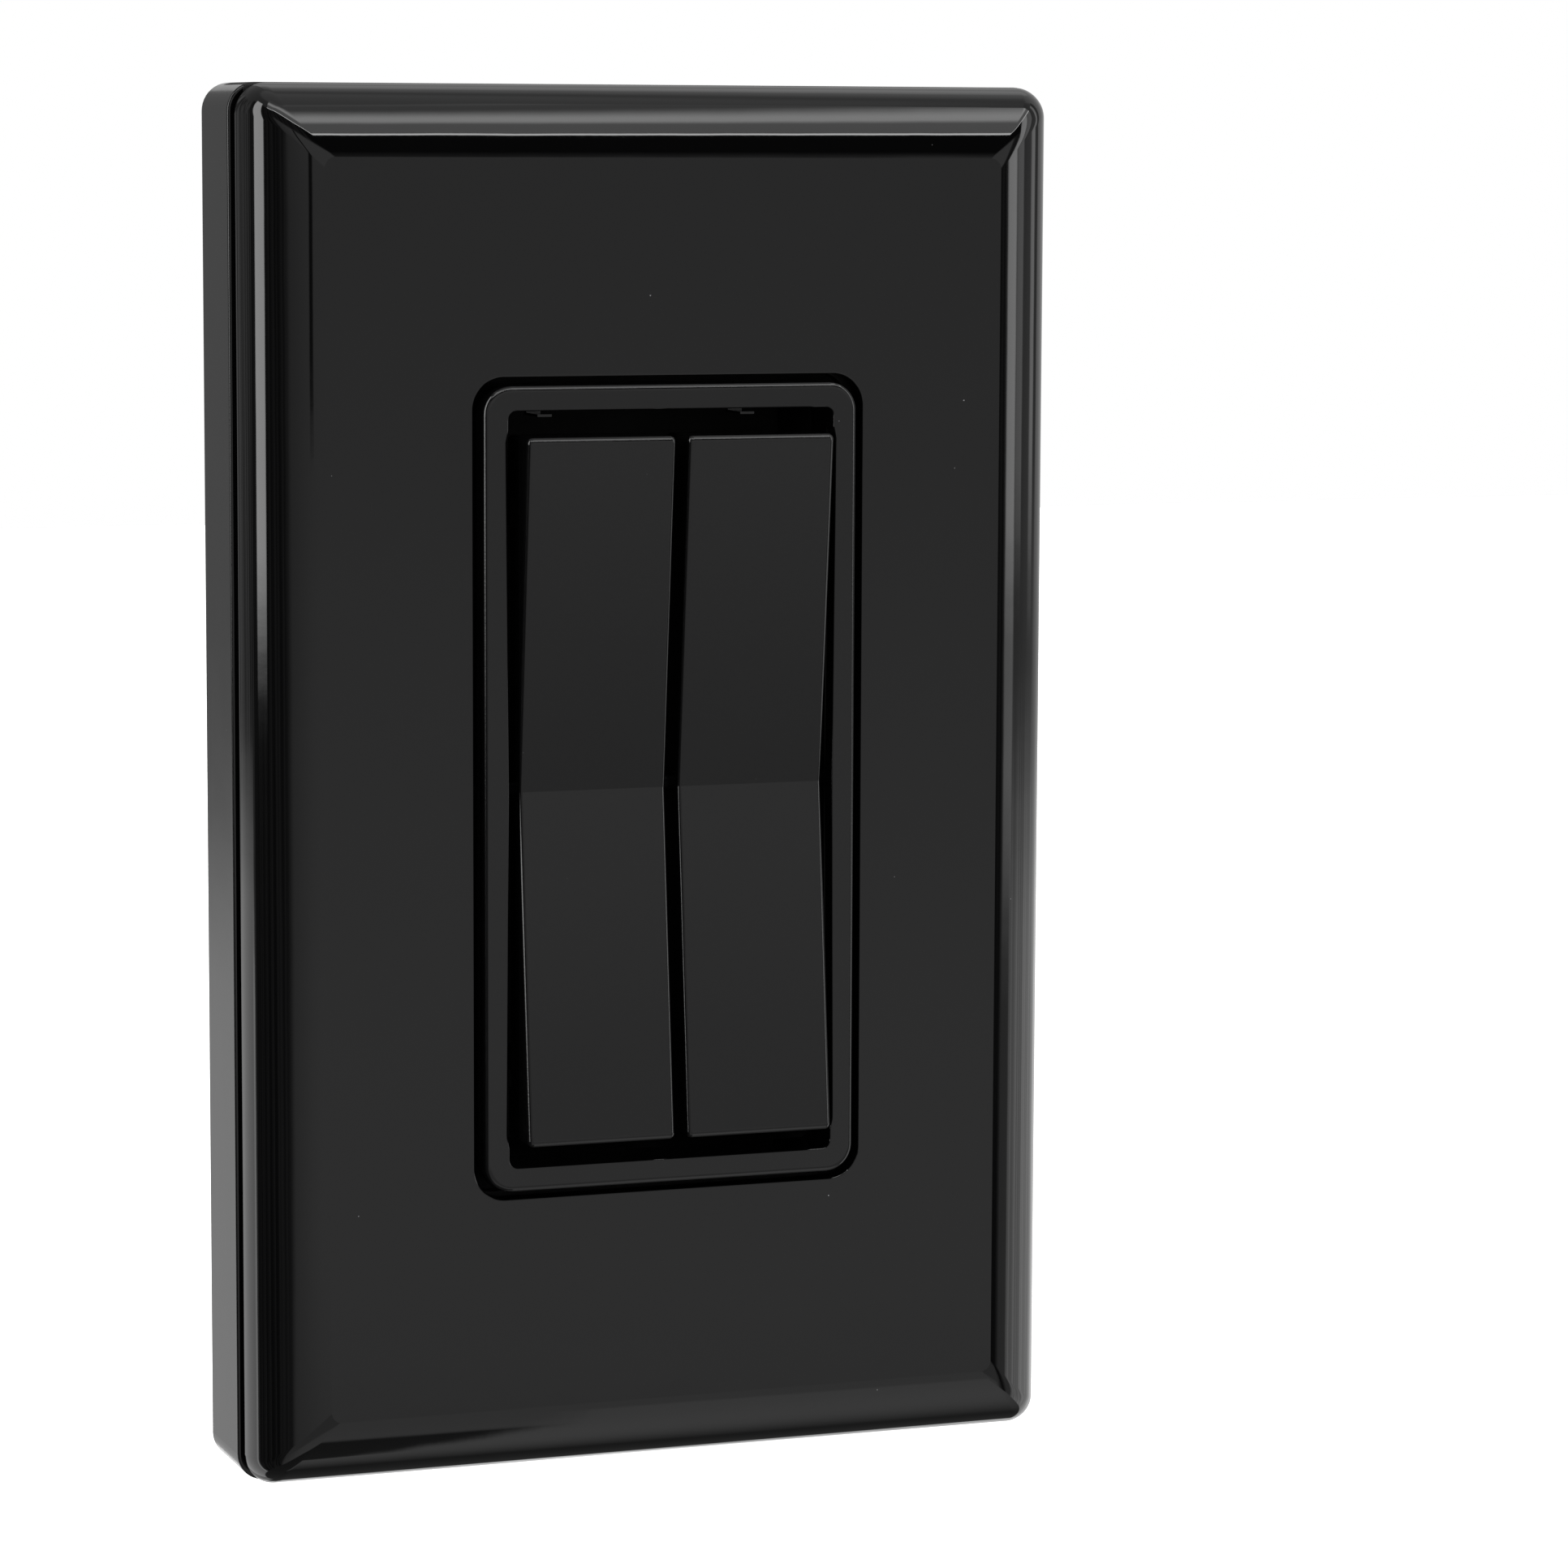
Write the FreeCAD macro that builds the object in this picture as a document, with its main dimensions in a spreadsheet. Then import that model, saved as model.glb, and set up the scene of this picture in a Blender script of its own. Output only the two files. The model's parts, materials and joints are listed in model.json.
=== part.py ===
"""Surface-mounted wireless double rocker switch, as a parametric FreeCAD document.

Frame: +X right, +Z up, +Y into the wall. The origin is the centre of the back face, which lies on the
wall, so everything else has a negative Y. Depths ("d") are counted out from the wall: y = -d.
Lengths are millimetres and angles are degrees.
"""
import FreeCAD, Part
import math
import operator
import os
from types import SimpleNamespace

import Sketcher

Vector = FreeCAD.Vector

# ---------------------------------------------------------------- driving dimensions

SIZES = [
    # outline and depths
    ("plate_width", 69.2, "plate's rear edge, a little inside the tray"),
    ("plate_height", 113.4, "plate's rear edge, a little inside the tray"),
    ("face_depth", 14.8, "wall to the flat front face"),
    ("plate_back_depth", 9.1, "wall to the plate's rear edge"),
    ("plate_wall", 1.6, "plate thickness"),
    ("plate_corner", 2.5, "radius of the plate's outline corners and hips"),
    ("crease_angle", 13, "slope where the rolled border leaves the flat face"),
    ("knee_angle", 40, "slope where the roll's two arcs meet"),
    ("rim_angle", 80, "slope where the roll ends"),
    ("roll_inner_radius", 9.5, "arc next to the flat face"),
    ("roll_outer_radius", 5.4, "arc next to the outline"),
    ("opening_width", 33.3, "standard decorator opening"),
    ("opening_height", 66.8, "standard decorator opening"),
    ("opening_corner", 2.6, "opening corner radius"),
    ("opening_chamfer", 0.12, "broken edge round the opening"),
    # tray on the wall
    ("tray_width", 69.85, "tray outline"),
    ("tray_height", 113.5, "tray outline"),
    ("tray_depth", 8.2, "wall to the tray's front edge"),
    ("tray_wall", 1.8, "tray side wall"),
    ("tray_floor", 2.0, "tray floor"),
    ("tray_corner", 2.3, "tray outline corner radius"),
    ("edge_round", 0.25, "small rounds on moulded edges"),
    ("catch_z", 28.0, "middle of the plate's catches and the tabs behind them"),
    ("catch_half", 4.0, "half a catch's length"),
    ("catch_reach", 2.7, "outline to the catch's inner end"),
    ("catch_front_depth", 10.15, "wall to the catch's front"),
    ("tab_back_depth", 10.25, "wall to the tab's rear"),
    ("tab_front_depth", 10.85, "wall to the tab's front"),
    ("tab_reach", 1.0, "sub plate's edge to the tab's tip"),
    ("lip_inset", 2.2, "outline to the lip's outside"),
    ("lip_wall", 1.2, "lip thickness"),
    ("lip_rise", 1.5, "lip beyond the tray's front edge"),
    ("wall_hole_pitch", 83.3, "standard device screw spacing"),
    ("wall_hole_radius", 2.2, "clearance for the wall screws"),
    ("back_rim", 4.0, "flat rim round the recessed back"),
    ("back_recess", 0.7, "depth of the recesses in the back"),
    ("back_rib", 9.0, "width of the back's cross ribs"),
    ("pad_gap", 0.6, "adhesive pad to recess wall"),
    # device frame
    ("bezel_width", 31.9, "bezel outside"),
    ("bezel_height", 65.5, "bezel outside"),
    ("bezel_corner", 2.3, "bezel outline corner radius"),
    ("bezel_proud", 0.7, "bezel beyond the plate's flat face"),
    ("bezel_edge_round", 0.5, "bezel front edge radius"),
    ("well_width", 27.76, "inside of the bezel"),
    ("well_height", 61.4, "inside of the bezel"),
    ("mouth_spread", 0.17, "extra half width of the well's mouth near its ends"),
    ("mouth_end", 2.5, "end of the well to the mouth's widest point"),
    ("mouth_return", 0.9, "length over which the mouth narrows again"),
    ("mouth_depth", 1.7, "how far the mouth's shape goes in from the bezel's face"),
    ("well_corner", 0.7, "well corner radius"),
    ("well_edge_round", 0.15, "well's front edge radius"),
    ("tongue_width", 1.2, "small tongue at the top of the well"),
    ("tongue_gap", 0.32, "well's upper wall to the tongue's top"),
    ("tongue_drop", 0.52, "well's upper wall to the tongue's underside"),
    ("tongue_tip", 1.2, "bezel's face to the tongue's tip"),
    ("tongue_length", 3.6, "tongue with its root"),
    ("tongue_root", 0.6, "length of the root that joins it to the wall"),
    ("tongue_left_x", -10.5, "middle of the left tongue"),
    ("tongue_right_x", 6.8, "middle of the right tongue"),
    ("seat_front_depth", 11.0, "wall to the front of the module's seat"),
    ("seat_wall", 1.2, "thickness of the module's seat"),
    ("seat_ledge", 0.9, "ledge over the module's front edge"),
    ("seat_gap", 0.2, "module to its seat"),
    ("ear_width", 43.0, "mounting ear"),
    ("ear_height", 104.8, "mounting ear"),
    ("ear_back_depth", 8.2, "wall to the ear's rear face"),
    ("ear_thickness", 1.6, "ear thickness"),
    ("ear_corner", 5.0, "ear corner radius"),
    ("ear_slot_reach", 1.6, "middle of the ear's slot to its end's centre"),
    ("tube_back_depth", 2.3, "wall to the device's rear edge"),
    ("plate_screw_pitch", 96.8, "standard plate screw spacing"),
    ("screw_radius", 1.75, "plate screw"),
    ("frame_screw_radius", 1.3, "screw that holds the device in the tray"),
    ("frame_screw_x", 17.8, "frame screw, across"),
    ("frame_screw_z", 37.5, "frame screw, up"),
    ("boss_radius", 3.2, "screw boss in the tray"),
    ("carrier_sheet", 1.4, "sub plate thickness"),
    ("carrier_rim_wall", 1.2, "rim on the sub plate"),
    # rockers
    ("rocker_width", 12.55, "one rocker"),
    ("rocker_gap", 1.0, "between the two rockers"),
    ("rocker_height", 57.4, "one rocker"),
    ("rocker_mid_depth", 15.35, "wall to the crease"),
    ("rocker_end_depth", 18.05, "wall to the raised ends"),
    ("rocker_skirt_depth", 13.2, "wall to the side skirt's rear edge"),
    ("rocker_end_skirt_depth", 12.6, "wall to the end skirt's rear edge"),
    ("rocker_end_skirt_z", 24.5, "where the deeper end skirt starts"),
    ("rocker_wall", 1.2, "skirt thickness"),
    ("rocker_top", 1.4, "face thickness"),
    ("rocker_end_round", 0.5, "end edge radius"),
    ("rocker_side_round", 0.45, "side edge and corner radius"),
    ("axle_depth", 12.2, "wall to the rocker axle"),
    ("axle_radius", 0.8, "rocker axle"),
    ("running_gap", 0.05, "radial clearance of hinge bores"),
    ("hub_radius", 1.65, "carrier hub"),
    ("carrier_half_height", 16.0, "carrier arm"),
    ("carrier_back_depth", 12.0, "wall to the carrier's pressing face"),
    # harvester module
    ("module_width", 26.8, "module housing"),
    ("module_height", 44.0, "module housing"),
    ("module_back_depth", 2.4, "wall to the module's rear face"),
    ("module_split_depth", 6.2, "joint between base and cover"),
    ("module_front_depth", 10.2, "wall to the module's front face"),
    ("module_wall", 1.0, "housing thickness"),
    ("module_corner", 1.2, "housing corner radius"),
    ("plunger_x", 9.0, "plunger, across"),
    ("plunger_z", 13.0, "plunger, up"),
    ("plunger_radius", 1.3, "plunger stem and its round ends"),
    ("plunger_low_depth", 7.0, "wall to the plunger's inner end"),
    ("plunger_high_depth", 11.95, "wall to the plunger's outer end"),
    ("plunger_bore_gap", 0.08, "radial clearance of the plunger"),
    ("lever_width", 4.8, "see-saw lever"),
    ("lever_half_height", 14.4, "see-saw lever"),
    ("lever_hub_radius", 1.3, "see-saw lever hub"),
    ("lever_pin_radius", 0.6, "see-saw lever pin"),
    ("board_thickness", 0.8, "circuit board"),
    ("lever_pin_start", 5.4, "lever pin's inner end, across"),
    ("post_half_height", 1.6, "bearing posts in the module's base"),
    ("board_half_width", 11.9, "circuit board"),
    ("board_half_height", 20.5, "circuit board"),
    ("antenna_width", 0.8, "antenna strip, and its thickness"),
    # generator in the module
    ("coil_depth", 6.6, "wall to the coil's axis"),
    ("core_half_width", 2.0, "iron core"),
    ("core_thickness", 1.2, "iron core"),
    ("core_low_z", -18.8, "iron core's lower end"),
    ("core_high_z", 3.0, "iron core's upper end"),
    ("bobbin_low_z", -16.8, "outside of the lower flange"),
    ("bobbin_high_z", -4.2, "outside of the upper flange"),
    ("flange_thickness", 0.8, "bobbin flange"),
    ("flange_half_width", 5.1, "bobbin flange"),
    ("flange_half_depth", 2.4, "bobbin flange"),
    ("barrel_half_width", 2.8, "bobbin barrel"),
    ("barrel_half_depth", 1.4, "bobbin barrel"),
    ("winding_width", 9.6, "coil winding"),
    ("winding_thickness", 4.4, "coil winding"),
    ("winding_corner", 1.6, "coil winding's corner radius"),
    ("carrier_pivot_z", 11.0, "magnet carrier pivot"),
    ("trunnion_radius", 0.7, "magnet carrier pivot"),
    ("trunnion_reach", 5.1, "magnet carrier pivot's half length"),
    ("magnet_back", 1.2, "coil axis to the magnet's rear"),
    ("magnet_front", 0.7, "coil axis to the magnet's front"),
    ("magnet_half_width", 2.6, "magnet"),
    ("magnet_low_z", 4.6, "magnet's lower end"),
    ("magnet_high_z", 8.6, "magnet's upper end"),
    ("pole_half_width", 3.0, "pole plate"),
    ("pole_thickness", 0.6, "pole plate"),
    ("pole_low_z", 0.6, "pole plate's lower end"),
    ("pole_high_z", 9.0, "pole plate's upper end, in the carrier"),
    ("holder_half_width", 3.6, "magnet carrier"),
    ("holder_back", 2.0, "coil axis to the carrier's rear"),
    ("holder_front", 1.6, "coil axis to the carrier's front"),
    ("holder_high_z", 13.4, "magnet carrier's upper end"),
    ("spring_half_width", 2.0, "leaf spring"),
    ("spring_thickness", 0.2, "leaf spring"),
    ("spring_low_z", 11.6, "leaf spring's end in the carrier"),
    ("spring_high_z", 19.4, "leaf spring's free end"),
]


class Size:
    """A number that remembers its formula, so that a property can be bound to the sheet."""

    def __init__(self, formula, value):
        self.formula = formula
        self.value = value

    def __add__(self, other):
        return combine("+", self, other)

    def __radd__(self, other):
        return combine("+", other, self)

    def __sub__(self, other):
        return combine("-", self, other)

    def __rsub__(self, other):
        return combine("-", other, self)

    def __mul__(self, other):
        return combine("*", self, other)

    def __rmul__(self, other):
        return combine("*", other, self)

    def __truediv__(self, other):
        return combine("/", self, other)

    def __neg__(self):
        return combine("-", 0, self)


OPERATORS = {"+": operator.add, "-": operator.sub, "*": operator.mul, "/": operator.truediv}


def sized(number):
    """A plain number becomes a Size whose formula is the number itself."""
    return number if isinstance(number, Size) else Size(repr(number), number)


def combine(sign, left, right):
    left, right = sized(left), sized(right)
    value = OPERATORS[sign](left.value, right.value)
    return Size(f"({left.formula} {sign} {right.formula})", value)


def sine(angle):
    return Size(f"sin({angle.formula})", math.sin(math.radians(angle.value)))


def cosine(angle):
    return Size(f"cos({angle.formula})", math.cos(math.radians(angle.value)))


doc = FreeCAD.newDocument("double_rocker_switch")
sheet = doc.addObject("Spreadsheet::Sheet", "Sizes")
for row, (alias, value, note) in enumerate(SIZES, 1):
    sheet.set(f"A{row}", alias)
    sheet.set(f"B{row}", str(value))
    sheet.set(f"C{row}", note)
    sheet.setAlias(f"B{row}", alias)
doc.recompute()
s = SimpleNamespace(**{alias: Size(f"Sizes.{alias}", value) for alias, value, note in SIZES})

# ---------------------------------------------------------------- building blocks

TURNS = {
    "X": FreeCAD.Rotation(Vector(0, 1, 0), 90),
    "D": FreeCAD.Rotation(Vector(1, 0, 0), 90),
    "Z": FreeCAD.Rotation(),
}


def bind(thing, prop, size):
    thing.setExpression(prop, sized(size).formula)


def place(thing, x, d, z):
    """Put the object's base point at x across, d out from the wall and z up."""
    bind(thing, "Placement.Base.x", x)
    bind(thing, "Placement.Base.y", -sized(d))
    bind(thing, "Placement.Base.z", z)


def block(name, x, d, z):
    """A box between two positions along each of X, D and Z."""
    box = doc.addObject("Part::Box", name)
    for prop, (low, high) in (("Length", x), ("Width", d), ("Height", z)):
        bind(box, prop, sized(high) - low)
    place(box, x[0], d[1], z[0])
    return box


def centred(name, width, d, height):
    """A box centred on the origin across and up."""
    return block(name, (-width / 2, width / 2), d, (-height / 2, height / 2))


def centred_at(name, width, d, thickness, z):
    """A box centred across and about the depth d."""
    return block(name, (-width / 2, width / 2), (d - thickness / 2, d + thickness / 2), z)


def rod(name, radius, axis, start, length):
    """A cylinder from the point start (x, d, z) along axis X, D or Z."""
    cylinder = doc.addObject("Part::Cylinder", name)
    bind(cylinder, "Radius", radius)
    bind(cylinder, "Height", length)
    cylinder.Placement = FreeCAD.Placement(Vector(), TURNS[axis])
    place(cylinder, *start)
    return cylinder


def cone(name, back_radius, front_radius, start, length):
    """A cone or frustum that points out of the wall, from the point start (x, d, z)."""
    frustum = doc.addObject("Part::Cone", name)
    bind(frustum, "Radius1", back_radius)
    bind(frustum, "Radius2", front_radius)
    bind(frustum, "Height", length)
    frustum.Placement = FreeCAD.Placement(Vector(), TURNS["D"])
    place(frustum, *start)
    return frustum


def ball(name, radius, x, d, z):
    sphere = doc.addObject("Part::Sphere", name)
    bind(sphere, "Radius", radius)
    place(sphere, x, d, z)
    return sphere


def fuse(name, *pieces):
    union = doc.addObject("Part::MultiFuse", name)
    union.Shapes = list(pieces)
    return union


def group(name, *pieces):
    compound = doc.addObject("Part::Compound", name)
    compound.Links = list(pieces)
    return compound


def cut(name, base, *tools):
    result = doc.addObject("Part::Cut", name)
    result.Base = base
    result.Tool = tools[0] if len(tools) == 1 else fuse(name + "_tools", *tools)
    return result


def common(name, first, second):
    result = doc.addObject("Part::Common", name)
    result.Base = first
    result.Tool = second
    return result


def dressed(kind, name, base, choices):
    """Part::Fillet or Part::Chamfer; choices pairs a Size with a test that picks edges."""
    doc.recompute()
    result = doc.addObject(kind, name)
    result.Base = base
    edges = []
    for number, edge in enumerate(base.Shape.Edges, 1):
        radius = next((size.value for size, wanted in choices if wanted(edge)), None)
        if radius:
            edges.append((number, radius, radius))
    result.Edges = edges
    return result


def fillet(name, base, *choices):
    return dressed("Part::Fillet", name, base, choices)


def chamfer(name, base, *choices):
    return dressed("Part::Chamfer", name, base, choices)


def runs_along(edge, axis):
    """True when the edge is straight and parallel to the row axis X, Y or Z."""
    if edge.Curve.TypeId != "Part::GeomLine":
        return False
    return abs(getattr(edge.Curve.Direction, axis.lower())) > 0.999


def depth_of(edge):
    return -edge.CenterOfMass.y


def near(a, b):
    return abs(a - b) < 0.02


def draw(sketch, points, radii=None):
    """Close a counter-clockwise loop; radii gives the radius of each side that is a convex arc."""
    radii = radii or {}
    count = len(points)
    ends = [Vector(sized(u).value, sized(v).value, 0) for u, v in points]
    for side in range(count):
        start, end = ends[side], ends[(side + 1) % count]
        if side in radii:
            sketch.addGeometry(arc_between(start, end, radii[side].value), False)
        else:
            sketch.addGeometry(Part.LineSegment(start, end), False)
    for side in range(count):
        sketch.addConstraint(Sketcher.Constraint("Coincident", side, 2, (side + 1) % count, 1))
    for side, (u, v) in enumerate(points):
        for kind, size in (("DistanceX", sized(u)), ("DistanceY", sized(v))):
            datum = Sketcher.Constraint(kind, -1, 1, side, 1, size.value)
            bind(sketch, f"Constraints[{sketch.addConstraint(datum)}]", size)
    for side, radius in radii.items():
        datum = Sketcher.Constraint("Radius", side, radius.value)
        bind(sketch, f"Constraints[{sketch.addConstraint(datum)}]", radius)


def arc_between(start, end, radius):
    chord = end - start
    middle = (start + end) / 2
    left = Vector(-chord.y, chord.x, 0).normalize()
    centre = middle + left * math.sqrt(radius**2 - (chord.Length / 2) ** 2)
    angles = [math.atan2((p - centre).y, (p - centre).x) for p in (start, end)]
    return Part.ArcOfCircle(Part.Circle(centre, Vector(0, 0, 1), radius), *angles)


def outlined_body(name, plane, offset, points, radii=None):
    """A Body with one sketch on an origin plane, moved along the plane's normal by offset."""
    body = doc.addObject("PartDesign::Body", name)
    sketch = body.newObject("Sketcher::SketchObject", name + "_outline")
    origin_plane = next(p for p in body.Origin.OriginFeatures if p.Role == plane)
    sketch.AttachmentSupport = [(origin_plane, "")]
    sketch.MapMode = "FlatFace"
    bind(sketch, "AttachmentOffset.Base.z", offset)
    draw(sketch, points, radii)
    return body, sketch


def padded(name, plane, offset, points, length, radii=None):
    """The outline padded along its plane's normal: +X on YZ, +Z on XY and outward (-Y) on XZ."""
    body, sketch = outlined_body(name, plane, offset, points, radii)
    pad = body.newObject("PartDesign::Pad", name + "_pad")
    pad.Profile = sketch
    bind(pad, "Length", length)
    return body


def turned(name, points):
    """A solid of revolution about its own +Z; points are (radius, height)."""
    body, sketch = outlined_body(name, "XZ_Plane", 0, points)
    spin = body.newObject("PartDesign::Revolution", name + "_spin")
    spin.Profile = sketch
    spin.ReferenceAxis = (sketch, ["V_Axis"])
    spin.Angle = 360
    return body


def side_profile(name, x, points):
    """A solid between x[0] and x[1] with the given (d, z) outline, clockwise as seen from +X."""
    flat = [(-sized(d), z) for d, z in points]
    return padded(name, "YZ_Plane", x[0], flat, sized(x[1]) - x[0])


PARTS = {}


def sub_part(label, thing):
    """Record a finished piece under the name of its node."""
    thing.Label = label
    PARTS[label] = thing
    return thing


# ---------------------------------------------------------------- wall plate


def crowned_bar(name, half_span, face_depth, back_depth, inner_radius, outer_radius, length):
    """A long bar along Z: flat front, two-arc rolls, straight skirts, open towards the wall."""
    knee, crease, rim = s.knee_angle, s.crease_angle, s.rim_angle
    knee_x = half_span - outer_radius * (sine(rim) - sine(knee))
    flat_x = knee_x - inner_radius * (sine(knee) - sine(crease))
    knee_d = face_depth - inner_radius * (cosine(crease) - cosine(knee))
    skirt_d = knee_d - outer_radius * (cosine(knee) - cosine(rim))
    left = [(-half_span, skirt_d), (-knee_x, knee_d), (-flat_x, face_depth)]
    right = [(-x, d) for x, d in reversed(left)]
    outline = [(-half_span, back_depth), *left, *right, (half_span, back_depth)]
    radii = {1: outer_radius, 2: inner_radius, 4: inner_radius, 5: outer_radius}
    flat = [(x, -sized(d)) for x, d in outline]
    return padded(name, "XY_Plane", -length / 2, flat, length, radii)


def crowned_block(name, half_width, half_height, face_depth, back_depth, inner_radius, outer_radius):
    """Two crossed bars in common: a flat face with rolled sides that meet in mitred hips."""
    depths = (face_depth, back_depth, inner_radius, outer_radius)
    upright = crowned_bar(name + "_upright", half_width, *depths, half_height * 2)
    crossing = crowned_bar(name + "_crossing", half_height, *depths, half_width * 2)
    crossing.Placement = FreeCAD.Placement(Vector(), FreeCAD.Rotation(Vector(0, 1, 0), 90))
    return common(name, upright, crossing)


def is_hip(edge):
    """The corner edges of the crowned block: away from both middle planes, and not a border's line."""
    start, end = edge.Vertexes[0].Point, edge.Vertexes[-1].Point
    same_corner = start.x * end.x > 0 and start.z * end.z > 0
    return same_corner and depth_of(edge) > s.plate_back_depth.value + 0.02


def rounded_slab(name, width, d, height, corner):
    """A centred box with its four edges along Y rounded."""
    return fillet(name, centred(name + "_box", width, d, height), (corner, lambda e: runs_along(e, "Y")))


def beside(name, x, d, half):
    """Four blocks by the plate's long sides, two on each: x is the span on the right-hand side."""
    blocks = []
    for level, z in (("low", -s.catch_z), ("high", s.catch_z)):
        span = (z - half, z + half)
        blocks.append(block(f"{name}_left_{level}", (-x[1], -x[0]), d, span))
        blocks.append(block(f"{name}_right_{level}", x, d, span))
    return blocks


def make_wall_plate():
    half_width, half_height = s.plate_width / 2, s.plate_height / 2
    radii = (s.roll_inner_radius, s.roll_outer_radius)
    outer = crowned_block("plate_outer", half_width, half_height, s.face_depth, s.plate_back_depth, *radii)
    outer = fillet("plate_outer_soft", outer, (s.plate_corner, is_hip))
    wall = s.plate_wall
    inner_radii = [radius - wall for radius in radii]
    inner = crowned_block(
        "plate_hollow", half_width - wall, half_height - wall, s.face_depth - wall,
        s.plate_back_depth - wall, *inner_radii,
    )
    opening = rounded_slab(
        "plate_opening", s.opening_width, (s.plate_back_depth, s.face_depth + wall),
        s.opening_height, s.opening_corner,
    )
    shell = cut("plate_shell", outer, inner, opening)
    catches = beside(
        "plate_catch", (half_width - s.catch_reach, half_width - wall / 2),
        (s.plate_back_depth, s.catch_front_depth), s.catch_half,
    )
    shell = fuse("plate_with_catches", shell, *catches)

    def opening_edge(edge):
        box = edge.BoundBox
        inside = max(abs(box.XMin), abs(box.XMax)) < s.opening_width.value / 2 + 0.1
        return inside and near(-box.YMin, s.face_depth.value) and box.YLength < 0.01

    sub_part("wall_plate", chamfer("plate_finished", shell, (s.opening_chamfer, opening_edge)))


# ---------------------------------------------------------------- tray, pads, sub plate


def make_back_frame():
    width, height = s.tray_width, s.tray_height
    wall, inset = s.tray_wall, s.lip_inset
    outer = rounded_slab("tray_outer", width, (0, s.tray_depth), height, s.tray_corner)
    outer = fillet(
        "tray_outer_soft", outer,
        (s.edge_round, lambda e: near(depth_of(e), s.tray_depth.value) and e.BoundBox.YLength < 0.01),
    )
    lip = rounded_slab(
        "tray_lip", width - inset * 2, (s.tray_depth - 1, s.tray_depth + s.lip_rise),
        height - inset * 2, sized(1.0),
    )
    lip_room = inset + s.lip_wall
    hollow = centred("tray_hollow", width - wall * 2, (s.tray_floor, s.tray_depth - 1), height - wall * 2)
    mouth = centred("tray_mouth", width - lip_room * 2, (s.tray_floor, 20), height - lip_room * 2)
    notch_x = (width / 2 - lip_room - 1, width / 2)
    notches = beside("tray_notch", notch_x, (s.tray_depth, 20), s.catch_half + 1)
    bosses = []
    holes = []
    for side, x in (("left", -s.frame_screw_x), ("right", s.frame_screw_x)):
        for level, z in (("low", -s.frame_screw_z), ("high", s.frame_screw_z)):
            foot = s.tray_floor - 0.2
            rise = s.ear_back_depth - foot
            bosses.append(rod(f"boss_{side}_{level}", s.boss_radius, "D", (x, foot, z), rise))
            holes.append(rod(f"boss_hole_{side}_{level}", s.frame_screw_radius, "D", (x, 3.2, z), 20))
    for level, z in (("low", -s.wall_hole_pitch / 2), ("high", s.wall_hole_pitch / 2)):
        holes.append(rod(f"wall_hole_{level}", s.wall_hole_radius, "D", (0, -1, z), 20))
    stiffeners = [
        centred_at(f"tray_rib_{level}", width - 2, s.tray_floor + 1, 2.4, (z - 0.6, z + 0.6))
        for level, z in (("low", -46.5), ("high", 46.5))
    ]
    shell = cut("tray_shell", fuse("tray_with_lip", outer, lip), hollow, mouth, *notches)
    body = fuse("tray_with_bosses", shell, *bosses, *stiffeners)
    tray = cut("tray_drilled", body, *holes, *back_recesses("tray_recess", 0, s.back_recess))
    sub_part("back_frame", tray)


def back_recesses(name, shrink, depth):
    """The four recesses in the back face, or with shrink the pads that lie in them."""
    inner_x = s.back_rib / 2 + shrink
    inner_z = s.back_rib / 2 + shrink
    outer_x = s.tray_width / 2 - s.back_rim - shrink
    outer_z = s.wall_hole_pitch / 2 - 5 - shrink
    return [
        block(
            f"{name}_{side}_{level}",
            (inner_x, outer_x) if side == "right" else (-outer_x, -inner_x),
            (0, depth),
            (inner_z, outer_z) if level == "high" else (-outer_z, -inner_z),
        )
        for side in ("left", "right")
        for level in ("low", "high")
    ]


def make_adhesive_pads():
    sub_part("adhesive_pads", group("pads", *back_recesses("pad", s.pad_gap, s.back_recess)))


def make_sub_plate():
    back = s.ear_back_depth + s.ear_thickness
    front = back + s.carrier_sheet
    width, height = s.plate_width - 6.8, s.plate_height - 7.2
    base = rounded_slab("carrier_sheet", width, (back, front), height, sized(1.5))
    rim_width, rim_height = s.plate_width - 16, s.plate_height - 25.5
    roof = s.face_depth - s.plate_wall - 0.1
    rim = rounded_slab("carrier_rim", rim_width, (back, roof), rim_height, sized(2.0))
    rim_walls = s.carrier_rim_wall * 2
    rim_hollow = centred("carrier_rim_hollow", rim_width - rim_walls, (back, 20), rim_height - rim_walls)
    tabs = beside(
        "carrier_tab", (width / 2 - 0.5, width / 2 + s.tab_reach),
        (s.tab_back_depth, s.tab_front_depth), s.catch_half - 0.5,
    )
    window = rounded_slab("carrier_window", s.opening_width, (0, 20), s.opening_height, s.opening_corner)
    holes = []
    for level, sign in (("low", -1), ("high", 1)):
        z = s.plate_screw_pitch / 2 * sign
        holes.append(rod(f"carrier_screw_hole_{level}", s.screw_radius + 0.1, "D", (0, 5, z), 20))
        hole_radius = s.screw_radius + 0.1
        sink_start = (0, front - 1.3, z)
        holes.append(cone(f"carrier_sink_{level}", hole_radius, hole_radius + 1.55, sink_start, 1.3))
        holes.append(rod(f"carrier_access_{level}", 4.2, "D", (0, 5, s.wall_hole_pitch / 2 * sign), 20))
        for side, x in (("left", -s.frame_screw_x), ("right", s.frame_screw_x)):
            place_of_screw = (x, 5, s.frame_screw_z * sign)
            holes.append(rod(f"carrier_relief_{side}_{level}", 3.3, "D", place_of_screw, 20))
    ring = cut("carrier_ring", rim, rim_hollow)
    sub_part("sub_plate", cut("carrier_finished", fuse("carrier_body", base, ring, *tabs), window, *holes))


# ---------------------------------------------------------------- device frame


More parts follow.
